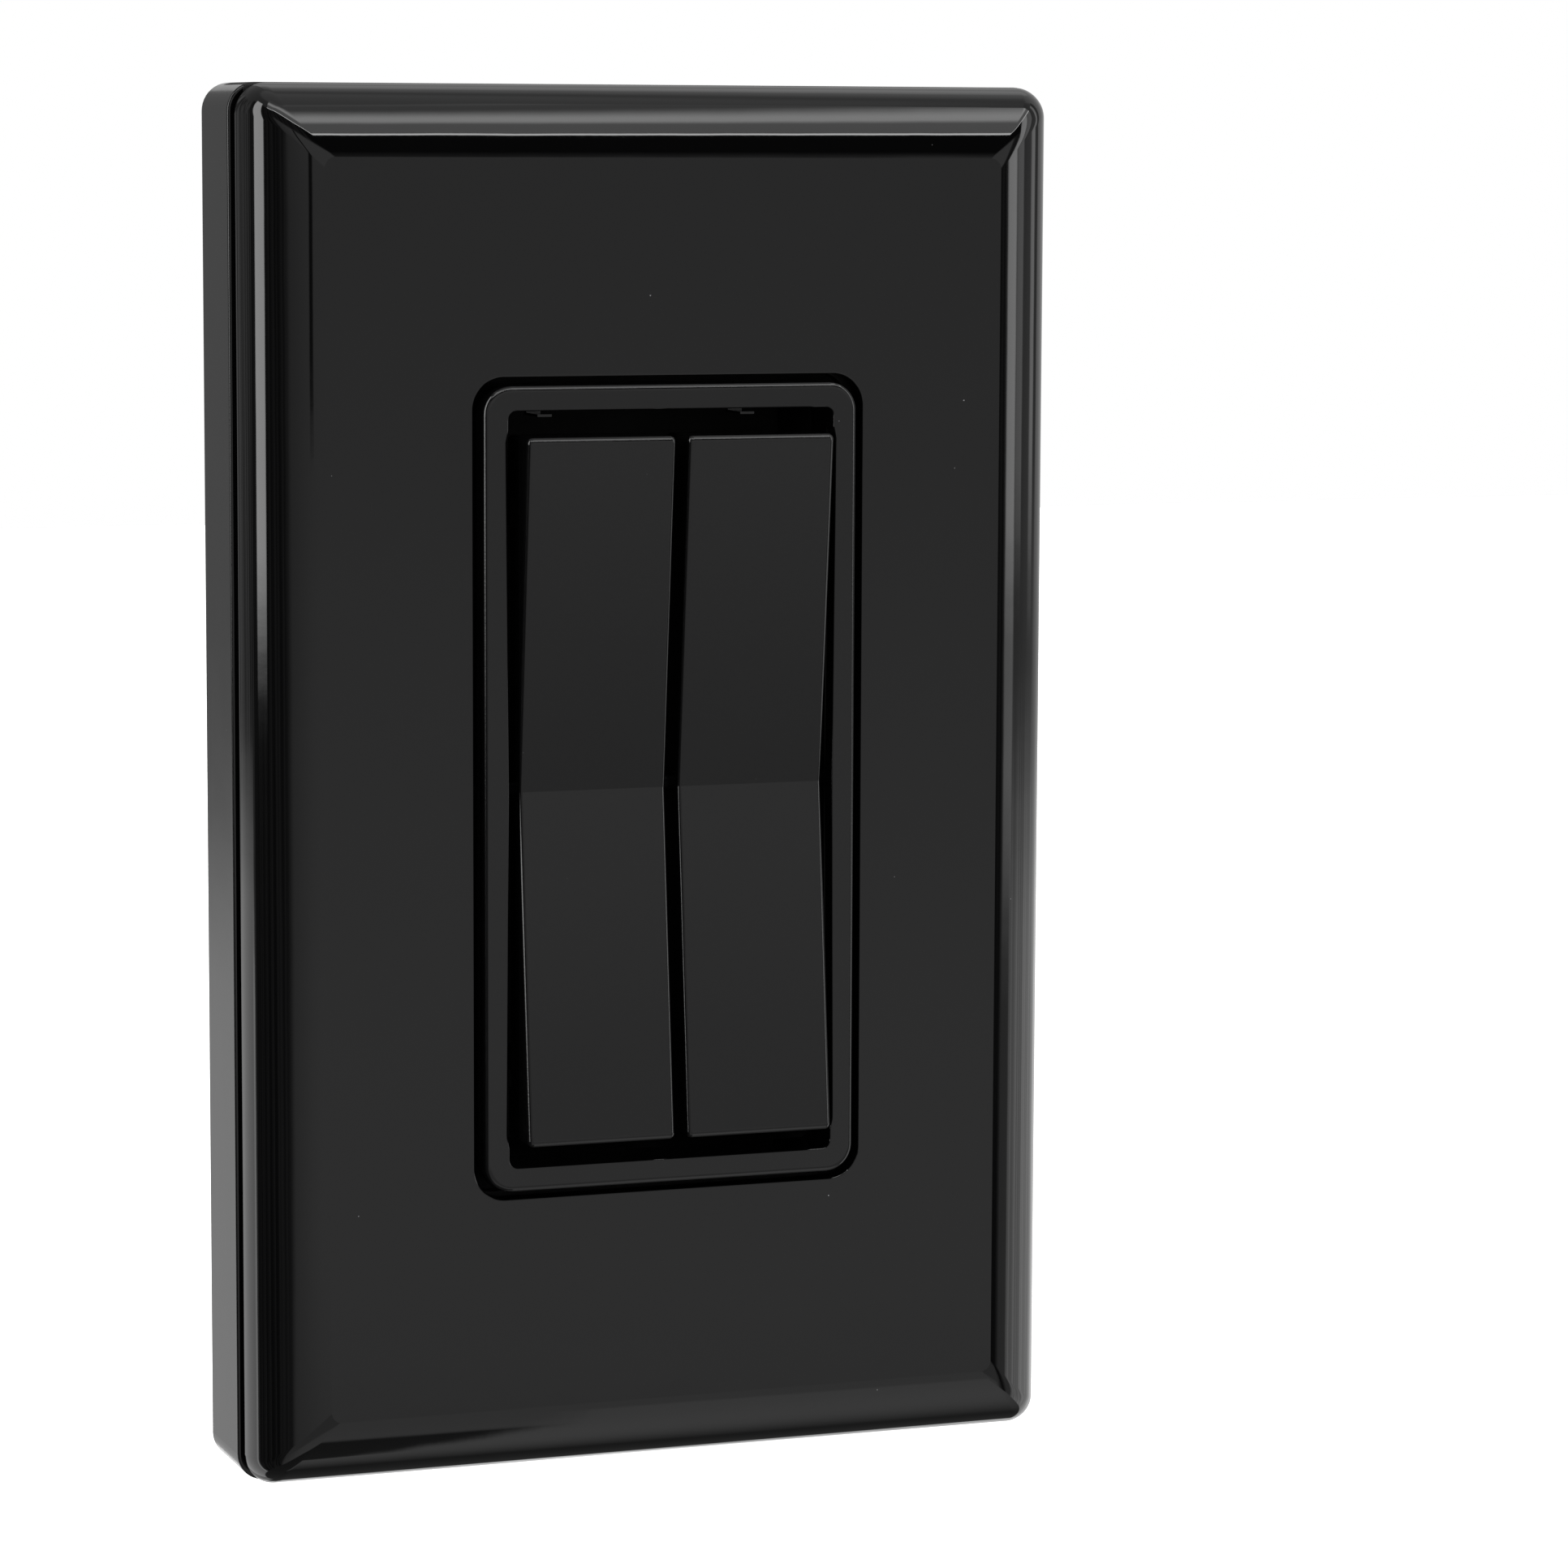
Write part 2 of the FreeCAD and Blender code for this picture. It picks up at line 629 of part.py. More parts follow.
def make_device_frame():
    front = s.face_depth + s.bezel_proud
    back = s.tube_back_depth
    tube = rounded_slab("bezel_tube", s.bezel_width, (back, front), s.bezel_height, s.bezel_corner)
    tube = fillet(
        "bezel_tube_soft", tube,
        (s.bezel_edge_round, lambda e: near(depth_of(e), front.value) and e.BoundBox.YLength < 0.01),
    )
    ear_depths = (s.ear_back_depth, s.ear_back_depth + s.ear_thickness)
    ear = rounded_slab("ear", s.ear_width, ear_depths, s.ear_height, s.ear_corner)
    well = rounded_slab("well", s.well_width, (back - 1, front + 1), s.well_height, s.well_corner)
    holes = []
    for level, sign in (("low", -1), ("high", 1)):
        z = s.plate_screw_pitch / 2 * sign
        holes.append(rod(f"ear_plate_hole_{level}", s.screw_radius, "D", (0, 5, z), 8))
        holes.append(ear_slot(f"ear_wall_slot_{level}", s.wall_hole_pitch / 2 * sign))
        for side, x in (("left", -s.frame_screw_x), ("right", s.frame_screw_x)):
            name = f"ear_frame_hole_{side}_{level}"
            holes.append(rod(name, s.frame_screw_radius + 0.1, "D", (x, 5, s.frame_screw_z * sign), 8))
    axle_hole = rod("axle_hole", s.axle_radius, "X", (-20, s.axle_depth, 0), 40)
    shell = cut("frame_shell", fuse("frame_solid", tube, ear), well, well_mouth(front), axle_hole, *holes)
    shell = fuse("frame_with_tongues", shell, *module_seat(), *well_tongues(front))

    def well_edge(edge):
        box = edge.BoundBox
        inside = max(abs(box.XMin), abs(box.XMax)) < s.bezel_width.value / 2 - 1.2
        inside = inside and max(abs(box.ZMin), abs(box.ZMax)) < s.bezel_height.value / 2 - 1.2
        return inside and near(-box.YMin, front.value) and box.YLength < 0.01

    sub_part("device_frame", fillet("frame_finished", shell, (s.well_edge_round, well_edge)))


def ear_slot(name, z):
    """A slot across the ear, so that the device can be turned upright on the wall screws."""
    reach, radius = s.ear_slot_reach, s.wall_hole_radius
    left = rod(name + "_left", radius, "D", (-reach, 5, z), 8)
    right = rod(name + "_right", radius, "D", (reach, 5, z), 8)
    middle = block(name + "_middle", (-reach, reach), (5, 13), (z - radius, z + radius))
    return fuse(name, left, right, middle)


def well_mouth(front):
    """The mouth of the well: sides that open slightly from the middle and narrow again at the corners."""
    half = s.well_width / 2
    widest_z = s.well_height / 2 - s.mouth_end
    corner = [(half, 0), (half + s.mouth_spread, widest_z), (half, widest_z + s.mouth_return)]
    loop = corner + [(-x, z) for x, z in reversed(corner)] + [(-x, -z) for x, z in corner[1:]]
    loop += [(x, -z) for x, z in reversed(corner[1:])]
    return padded("well_mouth", "XZ_Plane", front - s.mouth_depth, loop, s.mouth_depth + 1)


def module_seat():
    """Two walls across the tube that hold the module, each with a ledge over its front edge."""
    half_width = s.well_width / 2 + 0.3
    inner = s.module_height / 2 + s.seat_gap
    front = s.seat_front_depth
    pieces = []
    for level, sign in (("low", -1), ("high", 1)):
        for part_name, depths, span in (
            ("wall", (s.tube_back_depth, front), (inner, inner + s.seat_wall)),
            ("ledge", (s.module_front_depth + 0.05, front), (inner - s.seat_ledge, inner + s.seat_gap)),
        ):
            z = tuple(sorted((value * sign for value in span), key=lambda size: size.value))
            pieces.append(block(f"seat_{part_name}_{level}", (-half_width, half_width), depths, z))
    return pieces


def well_tongues(front):
    """Two thin tongues just under the well's upper wall, each joined to it by a root at the rear."""
    wall = s.well_height / 2
    tip = front - s.tongue_tip
    rear = tip - s.tongue_length
    root = (rear, rear + s.tongue_root)
    pieces = []
    for side, x in (("left", s.tongue_left_x), ("right", s.tongue_right_x)):
        span = (x - s.tongue_width / 2, x + s.tongue_width / 2)
        low = wall - s.tongue_drop
        pieces.append(block(f"tongue_{side}", span, (rear, tip), (low, wall - s.tongue_gap)))
        pieces.append(block(f"tongue_root_{side}", span, root, (low, wall + 0.5)))
    return pieces


# ---------------------------------------------------------------- rockers and their carriers


def rocker_outline(shrink, back):
    """Half of the rocker's side outline above the axle, as (d, z), pulled in by shrink."""
    end = s.rocker_height / 2 - shrink
    rise = s.rocker_end_depth - s.rocker_mid_depth
    middle = s.rocker_mid_depth - (0 if shrink == 0 else s.rocker_top)
    tip = middle + rise * end / (s.rocker_height / 2)
    return middle, tip, end, back


def make_rocker(side, x):
    middle, tip, end, skirt = rocker_outline(0, s.rocker_skirt_depth)
    end_skirt, step = s.rocker_end_skirt_depth, s.rocker_end_skirt_z
    outer = side_profile(
        f"rocker_{side}_solid", x,
        [
            (tip, -end), (end_skirt, -end), (end_skirt, -step), (skirt, -step),
            (skirt, step), (end_skirt, step), (end_skirt, end), (tip, end), (middle, 0),
        ],
    )
    middle, tip, end, back = rocker_outline(s.rocker_wall, s.rocker_end_skirt_depth - 1)
    hollow = side_profile(
        f"rocker_{side}_hollow", (x[0] + s.rocker_wall, x[1] - s.rocker_wall),
        [(tip, -end), (back, -end), (back, end), (tip, end), (middle, 0)],
    )
    cap = cut(f"rocker_{side}_cap", outer, hollow)
    front_end, half = s.rocker_end_depth.value, s.rocker_height.value / 2

    def end_edge(edge):
        return runs_along(edge, "X") and near(depth_of(edge), front_end)

    def side_edge(edge):
        box = edge.BoundBox
        on_side = near(box.XMin, x[0].value) or near(box.XMax, x[1].value)
        return on_side and box.XLength < 0.01 and near(-box.YMin, front_end)

    def corner_edge(edge):
        return runs_along(edge, "Y") and near(abs(edge.CenterOfMass.z), half)

    soft = fillet(
        f"rocker_{side}_soft", cap,
        (s.rocker_end_round, end_edge), (s.rocker_side_round, side_edge), (s.rocker_side_round, corner_edge),
    )
    sub_part(f"rocker_{side}", soft)


def make_carrier(side, x):
    """The lever under a rocker: a hub on the axle and two arms that press the plungers."""
    gap = 0.05
    middle = s.rocker_mid_depth - s.rocker_top - gap
    slope = (s.rocker_end_depth - s.rocker_mid_depth) / (s.rocker_height / 2)
    reach = s.carrier_half_height
    tip = middle + slope * reach
    back = s.carrier_back_depth
    inside = (x[0] + s.rocker_wall + 0.2, x[1] - s.rocker_wall - 0.2)
    arms = side_profile(
        f"carrier_{side}_arms", inside,
        [(tip, -reach), (back, -reach), (back, reach), (tip, reach), (middle, 0)],
    )
    width = inside[1] - inside[0]
    hub = rod(f"carrier_{side}_hub", s.hub_radius, "X", (inside[0], s.axle_depth, 0), width)
    bore_start = (inside[0] - 1, s.axle_depth, 0)
    bore = rod(f"carrier_{side}_bore", s.axle_radius + s.running_gap, "X", bore_start, width + 2)
    windows = [
        block(f"carrier_{side}_window_{level}", (inside[0] + 1.2, inside[1] - 1.2), (back - 1, 20), z)
        for level, z in (("low", (-10.8, -2.6)), ("high", (2.6, 10.8)))
    ]
    body = fuse(f"carrier_{side}_body", arms, hub)
    sub_part(f"rocker_carrier_{side}", cut(f"carrier_{side}_finished", body, bore, *windows))


def make_rockers():
    inner, outer = s.rocker_gap / 2, s.rocker_gap / 2 + s.rocker_width
    for side, x in (("left", (-outer, -inner)), ("right", (inner, outer))):
        make_rocker(side, x)
        make_carrier(side, x)
    length = s.bezel_width - 0.7
    sub_part("rocker_axle", rod("rocker_pin", s.axle_radius, "X", (-length / 2, s.axle_depth, 0), length))


# ---------------------------------------------------------------- screws


def make_plate_screws():
    """Two countersunk screws that hold the sub plate to the device frame's ears."""
    front = s.ear_back_depth + s.ear_thickness + s.carrier_sheet
    screws = []
    for level, sign in (("low", -1), ("high", 1)):
        body = turned(
            f"plate_screw_{level}_turned",
            [(0, 0), (s.screw_radius, 0), (s.screw_radius, 3.9), (s.screw_radius + 1.5, 5.1), (0, 5.1)],
        )
        body.Placement = FreeCAD.Placement(Vector(), TURNS["D"])
        place(body, 0, front - 5.15, s.plate_screw_pitch / 2 * sign)
        z = s.plate_screw_pitch / 2 * sign
        slot = block(f"plate_screw_{level}_slot", (-5, 5), (front - 0.75, front + 1), (z - 0.4, z + 0.4))
        screws.append(cut(f"plate_screw_{level}", body, slot))
    sub_part("sub_plate_screws", group("plate_screws", *screws))


def make_frame_screws():
    """Four pan-head screws that hold the device frame in the tray."""
    seat = s.ear_back_depth + s.ear_thickness
    screws = []
    for side, across in (("left", -1), ("right", 1)):
        for level, up in (("low", -1), ("high", 1)):
            name = f"frame_screw_{side}_{level}"
            shank = s.frame_screw_radius
            body = turned(
                name + "_turned",
                [(0, 0), (shank, 1.0), (shank, 6.4), (2.5, 6.4), (2.5, 7.3), (1.9, 7.9), (0, 7.9)],
            )
            body.Placement = FreeCAD.Placement(Vector(), TURNS["D"])
            x, z = s.frame_screw_x * across, s.frame_screw_z * up
            place(body, x, seat - 6.4, z)
            cross = [
                block(name + "_cross_x", (x - 1.3, x + 1.3), (seat + 0.7, seat + 3), (z - 0.3, z + 0.3)),
                block(name + "_cross_z", (x - 0.3, x + 0.3), (seat + 0.7, seat + 3), (z - 1.3, z + 1.3)),
            ]
            screws.append(cut(name, body, *cross))
    sub_part("frame_screws", group("frame_screw_set", *screws))


# ---------------------------------------------------------------- harvester module


def make_module_base():
    back, split, wall = s.module_back_depth, s.module_split_depth, s.module_wall
    width, height = s.module_width, s.module_height
    outer = rounded_slab("base_outer", width, (back, split), height, s.module_corner)
    hollow = centred("base_hollow", width - wall * 2, (back + wall, 20), height - wall * 2)
    shell = cut("base_shell", outer, hollow)
    posts = []
    bores = []
    floor = back + wall - 0.2
    pivot_bore = s.trunnion_radius + s.running_gap
    for side, sign in (("left", -1), ("right", 1)):
        for name, low, high, z, d, top, radius in (
            ("lever_post", 5.4, 6.3, 0, s.module_split_depth, 7.4, s.lever_pin_radius),
            ("pivot_post", 4.3, 5.2, s.carrier_pivot_z, s.coil_depth, 7.9, pivot_bore),
        ):
            x = (low, high) if sign > 0 else (-high, -low)
            span = (z - s.post_half_height, z + s.post_half_height)
            posts.append(block(f"{name}_{side}", x, (floor, top), span))
            bores.append(rod(f"{name}_bore_{side}", radius, "X", (x[0] - 0.5, d, z), 2))
    seat = rod("base_pin_seat", s.lever_pin_radius, "X", (-20, s.module_split_depth, 0), 40)
    body = fuse("base_with_posts", shell, *posts)
    sub_part("module_base", cut("base_finished", body, seat, *bores))


def make_module_cover():
    split, front, wall = s.module_split_depth, s.module_front_depth, s.module_wall
    width, height = s.module_width, s.module_height
    outer = rounded_slab("cover_outer", width, (split, front), height, s.module_corner)
    hollow = centred("cover_hollow", width - wall * 2, (0, front - wall), height - wall * 2)
    bores = [
        rod(f"cover_bore_{name}", s.plunger_radius + s.plunger_bore_gap, "D", (x, 5, z), 20)
        for name, x, z in plunger_places()
    ]
    seat = rod("cover_pin_seat", s.lever_pin_radius, "X", (-20, s.module_split_depth, 0), 40)
    sub_part("module_cover", cut("cover_finished", outer, hollow, seat, *bores))


def plunger_places():
    return [
        (f"{level}_{side}", s.plunger_x * across, s.plunger_z * up)
        for level, up in (("upper", 1), ("lower", -1))
        for side, across in (("left", -1), ("right", 1))
    ]


def make_plungers():
    """Four round-ended pins that carry each rocker's travel to the see-saw levers."""
    radius = s.plunger_radius
    low, high = s.plunger_low_depth + radius, s.plunger_high_depth - radius
    for name, x, z in plunger_places():
        stem = rod(f"plunger_{name}_stem", radius, "D", (x, low, z), high - low)
        ends = [
            ball(f"plunger_{name}_inner", radius, x, low, z),
            ball(f"plunger_{name}_outer", radius, x, high, z),
        ]
        collar = rod(f"plunger_{name}_collar", radius + 0.6, "D", (x, low - 0.9, z), 0.6)
        sub_part(f"plunger_{name}", fuse(f"plunger_{name}_whole", stem, *ends, collar))


def make_levers():
    """A see-saw lever under each rocker's pair of plungers, turning on a short steel pin."""
    reach, axis = s.lever_half_height, s.module_split_depth
    front = s.plunger_low_depth - 0.05
    for side, sign in (("left", -1), ("right", 1)):
        middle = s.plunger_x * sign
        x = (middle - s.lever_width / 2, middle + s.lever_width / 2)
        arm = block(f"lever_{side}_arm", x, (front - 1.3, front), (-reach, reach))
        hub = rod(f"lever_{side}_hub", s.lever_hub_radius, "X", (x[0], axis, 0), s.lever_width)
        bore_radius = s.lever_pin_radius + s.running_gap
        bore = rod(f"lever_{side}_bore", bore_radius, "X", (x[0] - 1, axis, 0), s.lever_width + 2)
        sub_part(f"energy_lever_{side}", cut(f"lever_{side}", fuse(f"lever_{side}_solid", arm, hub), bore))
    start, outer = s.lever_pin_start, s.module_width / 2 - 0.1
    pins = [
        rod("lever_pin_left", s.lever_pin_radius, "X", (-outer, axis, 0), outer - start),
        rod("lever_pin_right", s.lever_pin_radius, "X", (start, axis, 0), outer - start),
    ]
    sub_part("lever_pins", group("lever_pin_set", *pins))


def make_coil():
    """A coil on its bobbin, with the iron core through it."""
    d = s.coil_depth
    core_x = (-s.core_half_width, s.core_half_width)
    core_d = (d - s.core_thickness / 2, d + s.core_thickness / 2)
    sub_part("iron_core", block("core_bar", core_x, core_d, (s.core_low_z, s.core_high_z)))

    low, high, flange = s.bobbin_low_z, s.bobbin_high_z, s.flange_thickness
    flange_x = (-s.flange_half_width, s.flange_half_width)
    flange_d = (d - s.flange_half_depth, d + s.flange_half_depth)
    flanges = [
        block("bobbin_flange_low", flange_x, flange_d, (low, low + flange)),
        block("bobbin_flange_high", flange_x, flange_d, (high - flange, high)),
    ]
    barrel_x = (-s.barrel_half_width, s.barrel_half_width)
    barrel_d = (d - s.barrel_half_depth, d + s.barrel_half_depth)
    barrel = block("bobbin_barrel", barrel_x, barrel_d, (low, high))
    tunnel = block("bobbin_tunnel", core_x, core_d, (low - 1, high + 1))
    sub_part("coil_bobbin", cut("bobbin", fuse("bobbin_solid", barrel, *flanges), tunnel))

    winding_z = (low + flange, high - flange)
    winding = centred_at("winding_outer", s.winding_width, d, s.winding_thickness, winding_z)
    winding = fillet("winding_soft", winding, (s.winding_corner, lambda e: runs_along(e, "Z")))
    room = block("winding_room", barrel_x, barrel_d, (low, high))
    sub_part("coil_winding", cut("winding", winding, room))


def make_magnet():
    """The magnet between its pole plates, in a carrier that a leaf spring snaps over."""
    d = s.coil_depth
    sub_part("pole_plates", group("poles", *pole_pair("pole")))
    magnet_x = (-s.magnet_half_width, s.magnet_half_width)
    magnet_d = (d - s.magnet_back, d + s.magnet_front)
    sub_part("magnet", block("magnet_block", magnet_x, magnet_d, (s.magnet_low_z, s.magnet_high_z)))

    holder_x = (-s.holder_half_width, s.holder_half_width)
    holder_d = (d - s.holder_back, d + s.holder_front)
    holder = block("holder_block", holder_x, holder_d, (s.magnet_high_z, s.holder_high_z))
    reach = s.trunnion_reach
    trunnion = rod("holder_trunnion", s.trunnion_radius, "X", (-reach, d, s.carrier_pivot_z), reach * 2)
    spring_x = (-s.spring_half_width, s.spring_half_width)
    spring_d = (d - s.spring_thickness / 2, d + s.spring_thickness / 2)
    slot = block("holder_pocket_spring", spring_x, spring_d, (s.spring_low_z, s.holder_high_z + 1))
    pocket = fuse("holder_pocket", *pole_pair("holder_pocket"), slot)
    sub_part("magnet_carrier", cut("holder", fuse("holder_solid", holder, trunnion), pocket))
    sub_part("leaf_spring", block("leaf", spring_x, spring_d, (s.spring_low_z, s.spring_high_z)))


def pole_pair(name):
    """Two blocks in front of and behind the magnet: the pole plates, or the pockets that hold them."""
    x, z = (-s.pole_half_width, s.pole_half_width), (s.pole_low_z, s.pole_high_z)
    front, back = s.coil_depth + s.magnet_front, s.coil_depth - s.magnet_back
    return [
        block(name + "_front", x, (front, front + s.pole_thickness), z),
        block(name + "_back", x, (back - s.pole_thickness, back), z),
    ]


def make_electronics():
    back = s.module_back_depth + s.module_wall
    top = back + s.board_thickness
    half_width, half_height = s.board_half_width, s.board_half_height
    board = block("board_sheet", (-half_width, half_width), (back, top), (-half_height, half_height))
    slots = [
        block("board_slot_left", (-6.4, -4.2), (0, 20), (-1.7, 1.7)),
        block("board_slot_right", (4.2, 6.4), (0, 20), (-1.7, 1.7)),
        block("board_slot_pivot_left", (-5.3, -4.2), (0, 20), (9.2, 12.8)),
        block("board_slot_pivot_right", (4.2, 5.3), (0, 20), (9.2, 12.8)),
    ]
    sub_part("circuit_board", cut("board", board, *slots))
    sub_part("radio_chip", block("chip", (5.4, 10.4), (top, top + 0.9), (15.2, 20.0)))
    sub_part("crystal", block("crystal_can", (0.6, 3.8), (top, top + 0.8), (15.6, 18.1)))
    capacitors = [
        block(f"capacitor_{name}", (x, x + 2.6), (top, top + 1.9), (16.0, 19.6))
        for name, x in (("a", -11.0), ("b", -7.9), ("c", -4.8))
    ]
    sub_part("storage_capacitors", group("capacitors", *capacitors))
    domes = [cone(f"dome_{name}", 1.6, 1.2, (x, top, z), 0.15) for name, x, z in plunger_places()]
    sub_part("contact_domes", group("domes", *domes))
    strip, reach, foot = s.antenna_width, half_width - 0.5, -half_height + 0.2
    depths = (top, top + strip)
    rail = block("antenna_rail", (-reach, reach), depths, (foot, foot + strip))
    legs = [
        block(f"antenna_leg_{side}", x, depths, (foot, foot + 2.9))
        for side, x in (("left", (-reach, -reach + strip)), ("right", (reach - strip, reach)))
    ]
    sub_part("antenna", fuse("antenna_loop", rail, *legs))


# ---------------------------------------------------------------- build, check, write

make_wall_plate()
make_back_frame()
make_adhesive_pads()
make_sub_plate()
make_device_frame()
make_rockers()
make_plate_screws()
make_frame_screws()
make_module_base()
make_module_cover()
make_plungers()
make_levers()
make_coil()
make_magnet()
make_electronics()
doc.recompute()

for thing in doc.Objects:
    if "Invalid" in thing.State or "Error" in thing.State:
        raise RuntimeError(f"{thing.Name} failed: {thing.State}")

os.makedirs("parts", exist_ok=True)
for label, thing in PARTS.items():
    shape = thing.Shape
    if shape.isNull() or not shape.isValid() or not shape.Solids:
        raise RuntimeError(f"{label} has no valid solid")
    shape.exportStep(f"parts/{label}.step")
    box = shape.BoundBox
    spans = (box.XMin, box.XMax, -box.YMax, -box.YMin, box.ZMin, box.ZMax)
    print(f"{label:22} volume {shape.Volume:9.2f}  x, d, z", *(f"{value:.2f}" for value in spans))
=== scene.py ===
"""The looks of a surface-mounted double rocker switch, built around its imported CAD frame.

Everything is in metres in the row frame: +X right, +Z up, +Y into the wall.
"""
import json
import math

import bpy
from mathutils import Matrix, Vector


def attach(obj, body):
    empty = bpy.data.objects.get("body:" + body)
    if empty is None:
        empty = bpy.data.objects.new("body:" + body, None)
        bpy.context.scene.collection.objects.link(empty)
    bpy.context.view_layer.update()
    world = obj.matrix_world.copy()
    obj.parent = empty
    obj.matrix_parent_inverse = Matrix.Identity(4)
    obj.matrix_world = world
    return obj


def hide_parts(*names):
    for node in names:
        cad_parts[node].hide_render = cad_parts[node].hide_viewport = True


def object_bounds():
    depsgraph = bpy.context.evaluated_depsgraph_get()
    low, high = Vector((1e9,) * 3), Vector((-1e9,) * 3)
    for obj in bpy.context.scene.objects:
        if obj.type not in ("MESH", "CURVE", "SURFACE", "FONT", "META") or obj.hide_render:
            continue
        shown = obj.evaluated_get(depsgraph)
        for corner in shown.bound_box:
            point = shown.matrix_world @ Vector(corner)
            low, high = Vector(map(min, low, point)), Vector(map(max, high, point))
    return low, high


MM = 0.001

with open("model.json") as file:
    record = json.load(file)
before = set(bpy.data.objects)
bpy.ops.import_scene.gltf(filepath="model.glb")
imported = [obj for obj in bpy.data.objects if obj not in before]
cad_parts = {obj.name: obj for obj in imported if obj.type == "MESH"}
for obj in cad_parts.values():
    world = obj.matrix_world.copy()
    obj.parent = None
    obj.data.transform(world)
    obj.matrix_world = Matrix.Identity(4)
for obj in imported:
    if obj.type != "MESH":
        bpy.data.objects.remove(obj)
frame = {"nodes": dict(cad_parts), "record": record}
cad_low, cad_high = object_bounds()
nodes = frame["nodes"]
slot_of = {part["node"]: part["material_slot"] for part in frame["record"]["subparts"]}

# ---------------------------------------------------------------- materials


class Paint:
    """A procedural material whose textures use the object's own coordinates, metres in the row frame."""

    BOX_SOFT = 0.02 * MM

    def __init__(self, name, colour, roughness, metallic=0.0):
        self.material = bpy.data.materials.new(name)
        self.material.use_nodes = True
        self.tree = self.material.node_tree
        self.shader = self.tree.nodes["Principled BSDF"]
        self.colour = (*colour, 1.0)
        self.set("Base Color", self.colour)
        self.set("Roughness", roughness)
        self.set("Metallic", metallic)
        self.place = self.node("ShaderNodeTexCoord").outputs["Object"]

    def node(self, kind, **settings):
        made = self.tree.nodes.new(kind)
        for key, value in settings.items():
            setattr(made, key, value)
        return made

    def link(self, source, target):
        self.tree.links.new(source, target)

    def set(self, socket, value):
        self.shader.inputs[socket].default_value = value

    def stretched(self, stretch):
        """The place, with each axis scaled: a larger number makes a pattern finer along that axis."""
        mapping = self.node("ShaderNodeMapping")
        mapping.inputs["Scale"].default_value = stretch
        self.link(self.place, mapping.inputs["Vector"])
        return mapping.outputs["Vector"]

    def noise(self, size, detail=2.0, stretch=(1, 1, 1)):
        """Smooth noise whose features are about size metres across."""
        texture = self.node("ShaderNodeTexNoise")
        self.link(self.stretched(stretch), texture.inputs["Vector"])
        texture.inputs["Scale"].default_value = 1 / size
        texture.inputs["Detail"].default_value = detail
        return texture.outputs[0]

    def cells(self, size):
        """Distance to scattered points about size metres apart, in units of size."""
        texture = self.node("ShaderNodeTexVoronoi")
        self.link(self.place, texture.inputs["Vector"])
        texture.inputs["Scale"].default_value = 1 / size
        return texture.outputs["Distance"]

    def ridges(self, pitch, axis):
        """Round ridges across one axis, pitch metres apart."""
        texture = self.node("ShaderNodeTexWave", wave_type="BANDS", bands_direction=axis)
        self.link(self.place, texture.inputs["Vector"])
        texture.inputs["Scale"].default_value = math.pi / 10 / pitch
        return texture.outputs[1]

    def remap(self, value, low, high, to_low=0.0, to_high=1.0):
        mapping = self.node("ShaderNodeMapRange")
        numbers = {"From Min": low, "From Max": high, "To Min": to_low, "To Max": to_high}
        for key, number in numbers.items():
            mapping.inputs[key].default_value = number
        self.link(value, mapping.inputs["Value"])
        return mapping.outputs["Result"]

    def mottle(self, factor, other):
        """Blend the colour so far towards another one by factor."""
        mix = self.node("ShaderNodeMix", data_type="RGBA")
        self.link(factor, mix.inputs[0])
        target = self.shader.inputs["Base Color"]
        if target.is_linked:
            self.link(target.links[0].from_socket, mix.inputs[6])
        else:
            mix.inputs[6].default_value = self.colour
        mix.inputs[7].default_value = (*other, 1.0)
        self.link(mix.outputs[2], target)

    def vary_roughness(self, factor, low, high):
        self.link(self.remap(factor, 0.3, 0.7, low, high), self.shader.inputs["Roughness"])

    def roughen_inside(self, box, roughness):
        """Raise the roughness inside a box, given as (low, high) along X and along Y, in metres."""
        apart = self.node("ShaderNodeSeparateXYZ")
        self.link(self.place, apart.inputs[0])
        inside = None
        for axis, (low, high) in enumerate(box):
            for edge, start, end in ((low, 0, 1), (high, 1, 0)):
                span = (edge - self.BOX_SOFT, edge + self.BOX_SOFT)
                step = self.remap(apart.outputs[axis], *span, start, end)
                inside = step if inside is None else self.both(inside, step)
        target = self.shader.inputs["Roughness"]
        mix = self.node("ShaderNodeMix")
        self.link(inside, mix.inputs[0])
        self.link(target.links[0].from_socket, mix.inputs[2])
        mix.inputs[3].default_value = roughness
        self.link(mix.outputs[0], target)

    def both(self, first, second):
        made = self.node("ShaderNodeMath", operation="MULTIPLY")
        self.link(first, made.inputs[0])
        self.link(second, made.inputs[1])
        return made.outputs[0]

    def bump(self, height, depth):
        """Add relief: height 0 to 1 stands for 0 to depth metres."""
        bump = self.node("ShaderNodeBump")
        bump.inputs["Distance"].default_value = depth
        self.link(height, bump.inputs["Height"])
        target = self.shader.inputs["Normal"]
        if target.is_linked:
            self.link(target.links[0].from_socket, bump.inputs["Normal"])
        self.link(bump.outputs["Normal"], target)


def darker(colour, share):
    return tuple(channel * share for channel in colour)


def gloss_moulding(slot, colour):
    """Polished black plastic: slightly wavy, with faint haze and a few specks of dust."""
    paint = Paint(slot, colour, 0.04)
    paint.vary_roughness(paint.noise(9 * MM, 3), 0.03, 0.05)
    paint.mottle(paint.remap(paint.noise(14 * MM), 0.45, 0.75, 0, 0.35), darker(colour, 1.7))
    paint.mottle(paint.remap(paint.cells(4 * MM), 0.016, 0.010), (0.35, 0.35, 0.36))
    paint.bump(paint.noise(6 * MM, 1), 12e-6)
    paint.bump(paint.noise(1.2 * MM, 2), 0.8e-6)
    return paint


